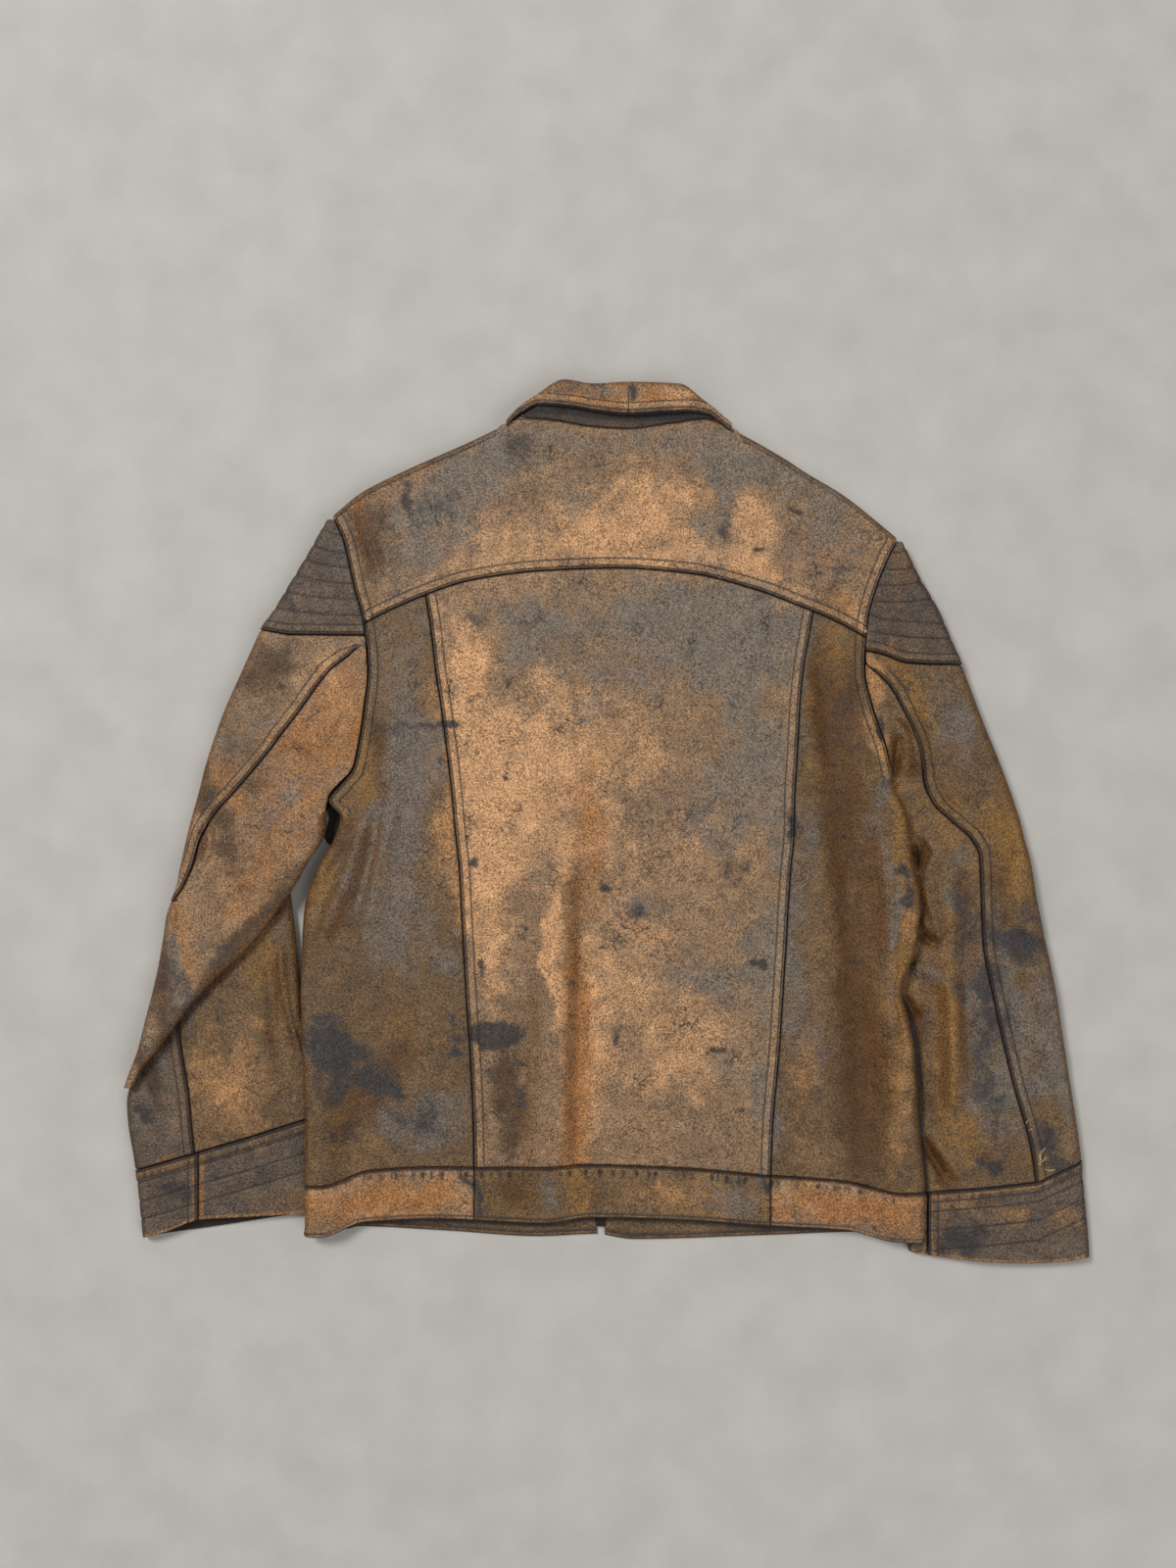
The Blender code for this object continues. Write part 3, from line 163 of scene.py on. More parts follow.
sleeveRight = table("y inner seam outer height", [
    (243, 248, 248, 252, 15), (237, 245, 245, 256, 15), (212, 234, 234, 268.5, 15),
    (185, 226, 226, 284, 15.5), (159, 220.5, 220.5, 295.5, 15.5), (138, 219.5, 221, 304, 16),
    (130, 219.9, 229, 307, 16.2), (115, 222.5, 243, 312.5, 16.5), (87, 230.5, 257, 323, 17),
    (65, 237.7, 266, 332, 17), (46, 242, 270, 339.5, 17), (34, 241, 272, 344, 17),
    (16, 241, 280, 350.5, 17), (1, 245, 295, 355.5, 17), (-14, 248, 311, 359, 17),
    (-28, 250, 318, 363, 17), (-68, 255, 320, 370, 16.5), (-101, 253, 321.5, 377, 16),
    (-148, 243, 330, 386.5, 15.5), (-170, 248, 335, 390, 15), (-221, 256, 347, 398, 14.5),
    (-283, 260, 364, 407.5, 13.5), (-326, 260, 370, 412, 12.5), (-360, 259.5, 374, 415, 12),
    (-381, 259.5, 376, 416.3, 12),
])
sleeveLeft = table("y inner seam outer height", [
    (262, -236.5, -236.5, -241.5, 15), (257, -234, -234, -245, 15), (231, -224.5, -224.5, -260, 15),
    (206, -219, -219, -275, 15.5), (186, -214, -214, -287, 15.5), (166, -209.6, -209.6, -300, 15.5),
    (150, -208, -217, -307.5, 16), (130, -206.5, -240, -316.5, 16), (95, -210.3, -266, -332, 16.5),
    (61, -215.8, -292, -344, 17), (46, -220, -304, -348.5, 17.5), (34, -231, -314.5, -351.5, 18),
    (22, -240.5, -325, -354.5, 18.5), (10, -242, -336, -358, 19), (-10, -244, -348.5, -363, 20),
    (-35, -258, -356, -368.5, 21), (-53, -268, -364, -372, 21.5), (-81, -288, -379, -381, 22),
    (-101, -304, -374, -384, 22), (-151, -353, -384, -393.5, 22), (-193, -385, -395, -403, 22),
    (-215, -402, -405, -411, 21.5), (-228, -408, -410, -415.5, 21),
])
forearmLeft = table("y outer seam inner height", [
    (-48, -289, -289, -276.5, 10.5), (-68, -298, -298, -274, 11), (-101, -322, -322, -270, 11),
    (-140, -356, -356, -266.5, 11.3), (-160, -372, -371, -264.5, 11.3),
    (-172, -384, -370.5, -262, 11.3), (-186, -397, -369, -258, 11.3),
    (-203, -405, -366.5, -254, 11.3), (-229, -414, -362, -251, 11.8),
    (-241, -416, -360.5, -250.5, 12.5), (-258, -415, -359, -250, 13), (-296, -409, -355, -250, 13),
    (-365, -402, -351, -250, 12),
])
capSeamLeft = table("x y", [(-320, 168), (-300, 166), (-270, 161.5), (-205, 161)])
capSeamRight = table("x y", [(214, 149), (234, 145), (256, 137.5), (285, 136), (325, 136)])
cuffLeftTop = table("x y", [(-420, -303.5), (-245, -252.5)])
cuffLeftLow = table("x y", [
    (-412, -360), (-402, -358.5), (-379, -352), (-351, -342), (-262, -338.5), (-245, -338),
])
cuffLeftLowFront = table("x y", [
    (-412, -360), (-402, -359), (-367, -354), (-332, -349), (-296, -343.5), (-262, -339),
    (-245, -338),
])
cuffRightTop = table("x y", [(250, -322.7), (370, -309.5), (409, -291), (420, -286)])
cuffRightTopFront = table("x y", [(250, -322.7), (409, -291), (420, -286)])
cuffRightLow = table("x y", [
    (250, -369), (260, -371), (277, -374), (312, -378), (358, -380), (396, -378), (416, -375),
    (425, -374),
])

# Soft ridges and troughs: a path, its rise, how far it reaches to each side, and where it lies.
creases = [
    ("body", [(-54, -352), (-51, -260), (-46, -140), (-43, -40), (-41, 30)], 7.5, 34),
    ("body", [(-26, -350), (-25, -260), (-24, -150), (-22, -60), (-20, 10)], -2.0, 13),
    ("body", [(-82, -340), (-80, -260), (-76, -170), (-72, -110)], -2.6, 20),
    ("body", [(-206, 12), (-214, -16), (-224, -50), (-240, -85), (-250, -122)], 5.6, 13),
    ("body", [(-226, 6), (-240, -26), (-252, -60)], -3.4, 9),
    ("body", [(-184, 30), (-190, -10), (-201, -60), (-208, -100)], 2.6, 13),
    ("body", [(-196, 22), (-203, -20), (-214, -66), (-222, -104)], -2.6, 9),
    ("body", [(-170, 90), (-172, 40), (-176, -20)], -1.4, 12),
    ("body", [(176, 168), (184, 120), (190, 75), (196, 30)], -4.6, 15),
    ("body", [(203, 148), (208, 100), (218, 50), (226, 5)], 2.2, 13),
    ("body", [(196, 40), (203, -20), (208, -90), (214, -170), (220, -250), (224, -298)], -5.4, 18),
    ("body", [(232, -8), (239, -70), (242, -150), (240, -230)], 3.6, 12),
    ("body", [(255, -48), (256, -76), (252, -104)], 1.8, 9),
    ("body", [(176, -70), (180, -150), (184, -230)], 2.4, 22),
    ("body", [(120, 20), (108, -60), (95, -120)], 1.8, 34),
    ("body", [(-150, -140), (-158, -210), (-166, -280)], 1.8, 24),
    ("body", [(-196, -150), (-205, -210), (-214, -280)], -2.2, 20),
    ("body", [(-236, -215), (-246, -240), (-254, -270)], 1.6, 10),
    ("body", [(-98, 60), (-60, 40), (-15, 45)], 0.9, 20),
    ("body", [(20, 120), (70, 100), (120, 108)], -0.8, 24),
    ("body", [(-214, 286), (-212, 258), (-204, 228), (-192, 204)], -3.0, 8),
    ("body", [(-200, 288), (-196, 250), (-186, 218)], 1.8, 8),
    ("body", [(-186, 282), (-180, 245), (-172, 216)], -1.6, 8),
    ("body", [(160, 300), (176, 262), (205, 235)], 1.4, 14),
    ("body", [(96, 300), (98, 270), (106, 246)], -1.2, 12),
    ("body", [(40, 330), (46, 290), (70, 262)], -0.7, 20),
    ("sleeveRight", [(241, 94), (250, 91), (259, 82), (263, 62), (264, 38)], 4.6, (15, 5)),
    ("sleeveRight", [(251, 78), (248, 58), (246, 36)], -5.8, 6),
    ("sleeveRight", [(258, -5), (271, -11), (281, -26), (272, -42), (274, -68), (287, -101)], 5.2, (20, 5)),
    ("sleeveRight", [(256, -20), (266, -26), (271, -31), (266, -42)], -7.0, 7),
    ("sleeveRight", [(262, -84), (274, -89), (290, -103)], 5.0, (13, 4)),
    ("sleeveRight", [(259, -95), (272, -99), (286, -108)], -6.6, 5),
    ("sleeveRight", [(256, -128), (268, -124), (280, -130), (288, -146)], 3.6, 12),
    ("sleeveRight", [(251, -148), (261, -158), (270, -174)], -5.6, (5, 9)),
    ("sleeveRight", [(289, -108), (293, -160), (295, -215), (293, -262)], 4.6, (16, 10)),
    ("sleeveRight", [(310, -60), (308, -120), (310, -180), (318, -250)], -3.0, 12),
    ("sleeveRight", [(260, -165), (265, -215), (269, -270)], -6.0, 7),
    ("sleeveRight", [(276, -268), (289, -288), (306, -311)], 4.4, (14, 5)),
    ("sleeveRight", [(267, -264), (279, -288), (297, -315)], -6.0, 5),
    ("sleeveRight", [(318, -284), (330, -295), (340, -305)], -2.6, 6),
    ("sleeveRight", [(342, 30), (348, -20), (352, -60)], -1.4, 12),
    ("sleeveRight", [(343, -95), (360, -100), (376, -98)], -2.4, (6, 10)),
    ("sleeveRight", [(366, -110), (374, -165), (382, -225)], 1.8, 12),
    ("sleeveRight", [(285, 55), (291, 30), (304, 8)], 1.8, 10),
    ("sleeveRight", [(352, -200), (368, -214), (392, -220)], -1.4, 7),
    ("sleeveLeft", [(-300, 84), (-272, 76), (-246, 58)], 2.2, 8),
    ("sleeveLeft", [(-296, 66), (-268, 58), (-242, 44)], -2.2, 8),
    ("sleeveLeft", [(-256, 88), (-240, 74), (-226, 56)], 1.8, 8),
    ("sleeveLeft", [(-308, -26), (-286, 0), (-268, 28), (-254, 48)], 2.2, 11),
    ("sleeveLeft", [(-354, 2), (-352, -18), (-360, -36), (-366, -48)], 3.2, 6),
    ("sleeveLeft", [(-345, 4), (-342, -20), (-350, -40)], -2.8, 6),
    ("sleeveLeft", [(-368, -56), (-376, -90), (-377, -125), (-366, -160)], 2.2, 6),
    ("sleeveLeft", [(-384, -90), (-388, -130), (-386, -170)], -2.2, 9),
    ("sleeveLeft", [(-316, -40), (-330, -66), (-350, -100), (-360, -140)], 1.6, 18),
    ("sleeveLeft", [(-262, 20), (-276, -14), (-292, -40)], 1.4, 12),
    ("forearmLeft", [(-283, -92), (-280, -140), (-270, -185), (-262, -220)], 3.8, 7),
    ("forearmLeft", [(-292, -110), (-291, -165), (-284, -215)], -2.6, 8),
    ("forearmLeft", [(-274, -90), (-270, -140), (-265, -180)], -3.0, 5),
    ("forearmLeft", [(-318, -180), (-326, -215), (-326, -250)], 1.2, 12),
    ("forearmLeft", [(-396, -215), (-388, -245), (-386, -280)], 1.8, 9),
]


def pathDistance(points, x, y):  # distance to a path, how far along it, and whether it is to the left
    best, along, left = np.full(np.shape(x), 1e9), np.zeros(np.shape(x)), np.zeros(np.shape(x), bool)
    lengths = [math.dist(a, b) for a, b in zip(points, points[1:])]
    total, run = sum(lengths), 0.0
    for (ax, ay), (bx, by), length in zip(points, points[1:], lengths):
        t = np.clip(((x - ax) * (bx - ax) + (y - ay) * (by - ay)) / length**2, 0, 1)
        away = np.hypot(x - mix(ax, bx, t), y - mix(ay, by, t))
        nearer = away < best
        best = np.where(nearer, away, best)
        along = np.where(nearer, (run + t * length) / total, along)
        left = np.where(nearer, (bx - ax) * (y - ay) - (by - ay) * (x - ax) > 0, left)
        run += length
    return best, along, left


def smoothed(points):  # a rounded course through a path's corners
    for _ in range(2):
        cutCorners = [points[0]]
        for a, b in zip(points, points[1:]):
            cutCorners += [(mix(a[0], b[0], t), mix(a[1], b[1], t)) for t in (0.25, 0.75)]
        points = [*cutCorners, points[-1]]
    return points


def creaseHeight(zone, x, y):
    total = np.zeros(np.shape(x))
    for place, points, rise, reach in creases:
        if place == zone:
            away, along, left = pathDistance(smoothed(points), x, y)
            wide = np.where(left, reach[0], reach[1]) if isinstance(reach, tuple) else reach
            ends = ease(along / 0.25) * ease((1 - along) / 0.25)
            total = total + rise * ends * hump(away, wide * 0.62)
    return total


def lattice(x, y, size, seed):  # soft random unevenness, -0.5 to 0.5
    u, v = x / size, y / size
    i, j = np.floor(u), np.floor(v)
    f, g = ease(u - i), ease(v - j)

    def corner(a, b):
        spun = np.sin(a * 127.1 + b * 311.7 + seed * 74.7) * 43758.5453
        return spun - np.floor(spun)

    return mix(mix(corner(i, j), corner(i + 1, j), f), mix(corner(i, j + 1), corner(i + 1, j + 1), f), g) - 0.5


def ripple(x, y):  # the slight unevenness of leather that has been worn and dropped
    waves = [(0.061, 0.043, 0.4), (-0.048, 0.079, 1.7), (0.117, -0.031, 2.9), (0.028, 0.132, 4.1)]
    long = sum(0.14 * np.sin(a * x + b * y + c + 1.3 * np.sin(0.021 * x - 0.017 * y + c)) for a, b, c in waves)
    return long + 0.5 * lattice(x, y, 16.0, 3) + 0.3 * lattice(x, y, 8.0, 5)


def bodyLeft(y):
    return follow(bodyRows, y, "left")


def bodyRight(y):
    return follow(bodyRows, y, "right")


def seamLeft(y):
    return follow(bodyRows, y, "seamLeft")


def seamRight(y):
    return follow(bodyRows, y, "seamRight")


def bodyUnder(x, y):
    left = follow(bodyHeights, y, "leftLift") * ease((bodyLeft(y) + lift["tuckReach"] - x) / 26.0)
    right = follow(bodyHeights, y, "rightLift") * ease((x - bodyRight(y) + lift["tuckReach"]) / 26.0)
    return lift["tuck"] * np.maximum(left, right)


def neckLift(x, y):
    return lift["collar"] * ease((y - 190.0) / 22.0) * ease((160.0 - np.abs(x - 5.0)) / 26.0)


def frontUnder(x, y):
    return np.maximum(bodyUnder(x, y), neckLift(x, y))


def bodyOver(x, y):
    height = follow(bodyHeights, y, "height") + 0.62 * bodyUnder(x, y)
    fade = ease((x - bodyLeft(y)) / 10.0) * ease((bodyRight(y) - x) / 10.0)
    return height + fade * (creaseHeight("body", x, y) + ripple(x, y))


def tuckedUnder(edgeDistance, height):
    return mix(lift["tuckedHeight"], height, ease((edgeDistance - 2.0) / lift["tuckSlope"]))


def sleeveRightOuter(y):
    return follow(sleeveRight, y, "outer")


def sleeveRightSeam(y):
    return follow(sleeveRight, y, "seam")


def sleeveRightInner(y):
    joined = bodyRight(y) + 2 * jacket["gap"]
    return np.where(y > jacket["rightUnderarm"] + 2, joined, follow(sleeveRight, y, "inner"))


def sleeveRightOver(x, y):
    height = follow(sleeveRight, y, "height")
    pressed = tuckedUnder(x - bodyRight(y), height)
    base = mix(height, pressed, ease((66.0 - y) / 34.0))
    free = ease((x - bodyRight(y)) / 8.0) * ease((sleeveRightOuter(y) - x) / 8.0)
    return base + free * (creaseHeight("sleeveRight", x, y) + ripple(x, y))


def sleeveLeftOuter(y):
    return follow(sleeveLeft, y, "outer")


def sleeveLeftSeam(y):
    return follow(sleeveLeft, y, "seam")


def sleeveLeftInner(y):
    return np.minimum(follow(sleeveLeft, y, "inner"), bodyLeft(y) - 2 * jacket["gap"])


def sleeveLeftOver(x, y):
    outer, inner = sleeveLeftOuter(y), sleeveLeftInner(y)
    share = (x - outer) / np.maximum(inner - outer, 1.0)
    rest = mix(15.5, 20.5, ease((-110.0 - y) / 70.0))
    base = mix(rest, follow(sleeveLeft, y, "height"), ease(share))
    free = ease((inner - x) / 8.0) * ease((x - outer) / 8.0)
    return base + free * (creaseHeight("sleeveLeft", x, y) + ripple(x, y))


def flapUnder(x, y):
    inner, outer = sleeveLeftInner(y), sleeveLeftOuter(y)
    folded = ease((8.0 - y) / 46.0) * ease((x - inner + 44.0) / 28.0)
    outerRaised = ease((-112.0 - y) / 66.0)
    nearOuter = ease((outer + 60.0 - x) / 60.0)
    raised = outerRaised * np.maximum(nearOuter, ease((-140.0 - y) / 30.0))
    return lift["flap"] * np.maximum(folded, raised)


def forearmOuter(y):
    return follow(forearmLeft, y, "outer")


def forearmSeam(y):
    return follow(forearmLeft, y, "seam")


def forearmInner(y):
    return follow(forearmLeft, y, "inner")


def forearmOver(x, y):
    height = follow(forearmLeft, y, "height")
    base = mix(height, tuckedUnder(bodyLeft(y) - x, height), ease((-150.0 - y) / 40.0))
    free = ease((forearmInner(y) - x) / 6.0) * ease((x - forearmOuter(y)) / 6.0)
    return base + free * (creaseHeight("forearmLeft", x, y) + 0.6 * ripple(x, y))


def cuffLeftOver(x, y):
    return tuckedUnder(bodyLeft(y) - x, lift["cuff"]) + 0.5 * ripple(x, y) - 0.3


def cuffRightOver(x, y):
    return tuckedUnder(x - bodyRight(y), lift["cuff"]) + 0.5 * ripple(x, y) - 0.3


def onFloor(x, y):
    return np.zeros(np.broadcast(x, y).shape)


def lineOf(rows, offset=0.0, front=None):  # y of a seam line at a place; the front's below mid height
    def line(x, z):
        back = follow(rows, x, "y")
        return (back if front is None else np.where(z < 5.0, follow(front, x, "y"), back)) + offset
    return line


def straightLineOf(rows, offset=0.0, front=None):
    def line(x, z):
        back = np.interp(x, rows["x"], rows["y"])
        low = back if front is None else np.interp(x, front["x"], front["y"])
        return np.where(z < 5.0, low, back) + offset
    return line


def level(y):
    return lambda x, z: np.full(np.shape(x), float(y))


# A seam is lapped: the upper piece is turned under and topstitched twice, the lower one dips below it.
lapped = {"rowOne": 2.4, "rowTwo": 8.7, "bead": 1.15, "strip": 0.7, "groove": 0.5}
fineOver = [0, 0.35, 0.75, 1.15, 1.55, 1.95, 2.4, 2.85, 3.5, 5.0, 6.8, 8.0, 8.7, 9.4, 10.4, 12.0]
fineUnder = [0, 0.4, 0.9, 1.5, 2.4, 4.0]
fineFold = [0, 0.8, 1.8, 3.2]
fine = {"collar": fineOver, "over": fineOver, "under": fineUnder, "plain": fineFold, "band": fineOver,
        "quilt": fineUnder,
        "faint": fineUnder, "waist": fineOver}


def course(startKind, endKind, length, step):  # stations across a stretch: close together at its two seams
    near, far = fine[startKind], fine[endKind]
    count = max(2, int(round((length - near[-1] - far[-1]) / step)))
    middle = np.linspace(0, 1, count + 1)[1:-1]
    tail = [far[-1] - d for d in reversed(far)]
    return {
        "near": np.array([*near, *([near[-1]] * len(middle)), *([near[-1]] * len(far))], float),
        "far": np.array([*([0] * (len(near) + len(middle))), *tail], float),
        "share": np.array([*([0] * len(near)), *middle, *([1] * len(far))], float),
        "nearEnd": near[-1],
        "farEnd": far[-1],
    }


def place(start, end, stations, startLean=1.0, endLean=1.0, axis=1):
    shape = (1, -1) if axis == 1 else (-1, 1)
    near, far, share = (stations[k].reshape(shape) for k in ("near", "far", "share"))
    length = end - start
    side = np.where(length < 0, -1.0, 1.0)
    fixed = stations["nearEnd"] * startLean + stations["farEnd"] * endLean
    room = np.minimum(1.0, 0.8 * np.abs(length) / fixed)
    middle = length - side * room * fixed
    return start + side * room * (near * startLean + far * endLean) + share * middle


def layGrid(section, low, high, stations, gap=None, rounds=9):  # points of a piece between its two seam lines
    gap = jacket["gap"] if gap is None else gap
    x, z = section(np.zeros((len(stations["near"]), 1)))
    for _ in range(rounds):
        bottom, top = low(x, z) + gap, high(x, z) - gap
        lowLean, highLean = (
            np.sqrt(1 + ((line(x + 1.5, z) - line(x - 1.5, z)) / 3.0) ** 2) for line in (low, high)
        )
        y = place(bottom, top, stations, np.minimum(lowLean, 1.5), np.minimum(highLean, 1.5), axis=0)
        x, z = section(y)
    return x, y, z


def wrapColumns(top, underSteps=3, rollSteps=9):  # columns round an edge: below, round it, over the top
    count = len(top["near"])
    return {
        "kind": np.array([0] * underSteps + [1] * rollSteps + [2] * count),
        "share": np.array([*(np.arange(underSteps) / underSteps), *(np.arange(rollSteps) / rollSteps),
                           *([0] * count)], float),
        "top": top,
    }


def wrapSection(y, side, edge, reach, underTo, topTo, under, over, columns, edgeLean=1.0, seamLean=1.0):
    kind, share = columns["kind"][None, :], columns["share"][None, :]
    turn = edge - side * reach
    angle = -math.pi / 2 + math.pi * share
    low, high = under(turn, y), over(turn, y)
    xUnder = mix(underTo, turn, share)
    xRoll = turn + side * reach * np.cos(angle)
    zRoll = 0.5 * (low + high) + 0.5 * (high - low) * np.sin(angle)
    first = int((kind == 2).argmax())
    yTop = y[:, first:] if y.shape[1] > 1 else y
    pick = (lambda v: v[:, first:] if np.ndim(v) == 2 and v.shape[1] > 1 else v)
    xTop = place(pick(turn), pick(topTo), columns["top"], pick(edgeLean), pick(seamLean))
    zTop = over(xTop, yTop)
    shape = (y.shape[0], kind.shape[1])
    x = np.where(kind == 0, np.broadcast_to(xUnder, shape), np.broadcast_to(xRoll, shape)).astype(float)
    z = np.where(kind == 0, np.broadcast_to(under(xUnder, y), shape),
                 np.broadcast_to(zRoll, shape)).astype(float)
    x[:, first:], z[:, first:] = xTop, zTop
    return x, z


def seamShape(kind, d):  # rise of the leather at a distance from its seam, and its bead, strip and line
    zero = np.zeros(np.shape(d))
    if kind == "over" or kind == "band":
        bead = 1 - ease((d - 1.1) / 0.6)
        strip = ease((d - 2.0) / 0.8) * (1 - ease((d - lapped["rowTwo"]) / 2.4))
        lines = hump(d - lapped["rowOne"], 0.5) + hump(d - lapped["rowTwo"], 0.62)
        rise = 1.0 * hump(d - lapped["bead"], 0.75) - 0.7 * hump(d, 0.4)
        rise = rise + lapped["strip"] * strip - lapped["groove"] * lines
        return rise, bead, strip, lines
    if kind == "waist":
        bead = np.maximum(1 - ease((d - 1.4) / 0.6), 0.6 * hump(d, 1.2))
        rise = 1.0 * hump(d - lapped["bead"], 0.75) - 0.7 * hump(d, 0.4) - 0.4 * hump(d - 2.6, 0.6)
        return rise, bead, ease((d - 3.0) / 0.8) * (1 - ease((d - 9.0) / 2.0)), 0.6 * hump(d - 2.6, 0.5)
    if kind == "collar":
        bead = np.maximum(1 - ease((d - 1.2) / 0.4), hump(d - 3.2, 1.0))
        strip, lines = ease((d - 4.0) / 0.8) * (1 - ease((d - 9.5) / 2.0)), hump(d - 9.3, 0.5)
        return 0.9 * hump(d - 1.9, 0.6) - 0.9 * hump(d, 0.5) + 0.6 * strip - 0.5 * lines, bead, strip, lines
    if kind == "under":
        return -0.9 * hump(d, 1.0), zero, zero, hump(d, 1.1)
    if kind == "faint":
        return -0.2 * hump(d, 1.0), zero, zero, 0.4 * hump(d, 0.8)
    if kind == "quilt":
        return -0.5 * hump(d, 1.0), zero, hump(d - 3.2, 1.4), 0.9 * hump(d, 0.75)
    return zero, zero, zero, zero


thicken = {"rim": 2, "inside": 1}
leatherPieces = {}


def sew(name, x, y, z, seams, wall, keep=None, flip=False, extraRise=None, linesAndPaintedShade=None, rubbed=None):
    # seams: (kind, distance) pairs, in millimetres. The shell is thickened first, then its face is shaped.
    if flip:
        x, y, z = x[:, ::-1], y[:, ::-1], z[:, ::-1]
        seams = [(kind, d[:, ::-1]) for kind, d in seams]
        keep = None if keep is None else keep[:, ::-1]
        extraRise = None if extraRise is None else extraRise[:, ::-1]
        linesAndPaintedShade = None if linesAndPaintedShade is None else linesAndPaintedShade[:, ::-1]
        rubbed = None if rubbed is None else rubbed[:, ::-1]
    rows, columns = x.shape
    rise, bead, strip, line = (np.zeros(x.shape) for _ in range(4))
    for kind, d in seams:
        parts = seamShape(kind, np.broadcast_to(d, x.shape))
        rise = rise + parts[0]
        bead, strip, line = (np.maximum(a, b) for a, b in zip((bead, strip, line), parts[1:]))
    if extraRise is not None:
        rise = rise + extraRise
    # extra dark lines, stitched and hem lines and puckers, and painted shade in gaps and under edges, all darkened
    # alike
    if linesAndPaintedShade is not None:
        line = np.maximum(line, linesAndPaintedShade)
    points = np.stack([x, y, z], axis=-1)
    across = np.gradient(points, axis=1)
    up = np.gradient(points, axis=0)
    normals = np.cross(across, up)
    normals /= np.maximum(np.linalg.norm(normals, axis=-1, keepdims=True), 1e-9)
    index = np.arange(rows * columns).reshape(rows, columns)
    quads = np.stack([index[:-1, :-1], index[:-1, 1:], index[1:, 1:], index[1:, :-1]], axis=-1)
    if keep is not None:
        quads = quads[keep[:-1, :-1] & keep[1:, 1:] & keep[:-1, 1:] & keep[1:, :-1]]
    quads = quads.reshape(-1, 4)
    used, quads = np.unique(quads, return_inverse=True)
    quads = quads.reshape(-1, 4)
    flat = points.reshape(-1, 3)[used]
    places = (flat - [jacket["middleX"], jacket["middleY"], 0.0]) * 0.001
    mesh = bpy.data.meshes.new(name)
    mesh.from_pydata(places.tolist(), [], quads.tolist())
    mesh.update()
    piece = bpy.data.objects.new(name, mesh)
    bpy.context.scene.collection.objects.link(piece)
    bpy.ops.object.select_all(action="DESELECT")
    bpy.context.view_layer.objects.active = piece
    piece.select_set(True)
    shell = piece.modifiers.new("thickness", "SOLIDIFY")
    shell.thickness = wall * 0.001
    shell.offset = -1.0
    shell.use_even_offset = False
    shell.material_offset = thicken["inside"]
    shell.material_offset_rim = thicken["rim"]
    for _ in range(3):
        piece.data.materials.append(None)
    bpy.ops.object.modifier_apply(modifier="thickness")
    mesh = piece.data
    count = len(mesh.vertices)
    outer = len(used)
    moved = places + normals.reshape(-1, 3)[used] * rise.reshape(-1)[used][:, None] * 0.001
    co = np.empty(count * 3)
    mesh.vertices.foreach_get("co", co)
    co = co.reshape(-1, 3)
    co[:outer] = moved
    co[:, 2] = np.maximum(co[:, 2], 0.0)
    mesh.vertices.foreach_set("co", co.reshape(-1))
    wear = wearAt(flat[:, 0], flat[:, 1], normals.reshape(-1, 3)[used][:, 2] > -0.3)
    if rubbed is not None:
        wear[:, 0] += rubbed.reshape(-1)[used]
    wear = np.concatenate([wear, np.ones((outer, 1))], axis=1)
    marks = np.stack([a.reshape(-1)[used] for a in (bead, strip, line)] + [np.ones(outer)], axis=-1)
    upward = normals.reshape(-1, 3)[used][:, 2]
    tone = toneAt(flat[:, 0], flat[:, 1], upward)
    for label, values in (("wear", wear), ("tone", tone), ("seams", marks)):
        layer = mesh.color_attributes.new(label, "FLOAT_COLOR", "POINT")
        everything = np.zeros((count, 4), np.float32)
        everything[:outer] = np.clip(values, 0, 4)
        everything[outer:] = everything[:outer][: count - outer] if count - outer <= outer else 0
        layer.data.foreach_set("color", everything.reshape(-1))
    mesh.shade_smooth()
    mesh.update()
    leatherPieces[name] = piece
    return piece
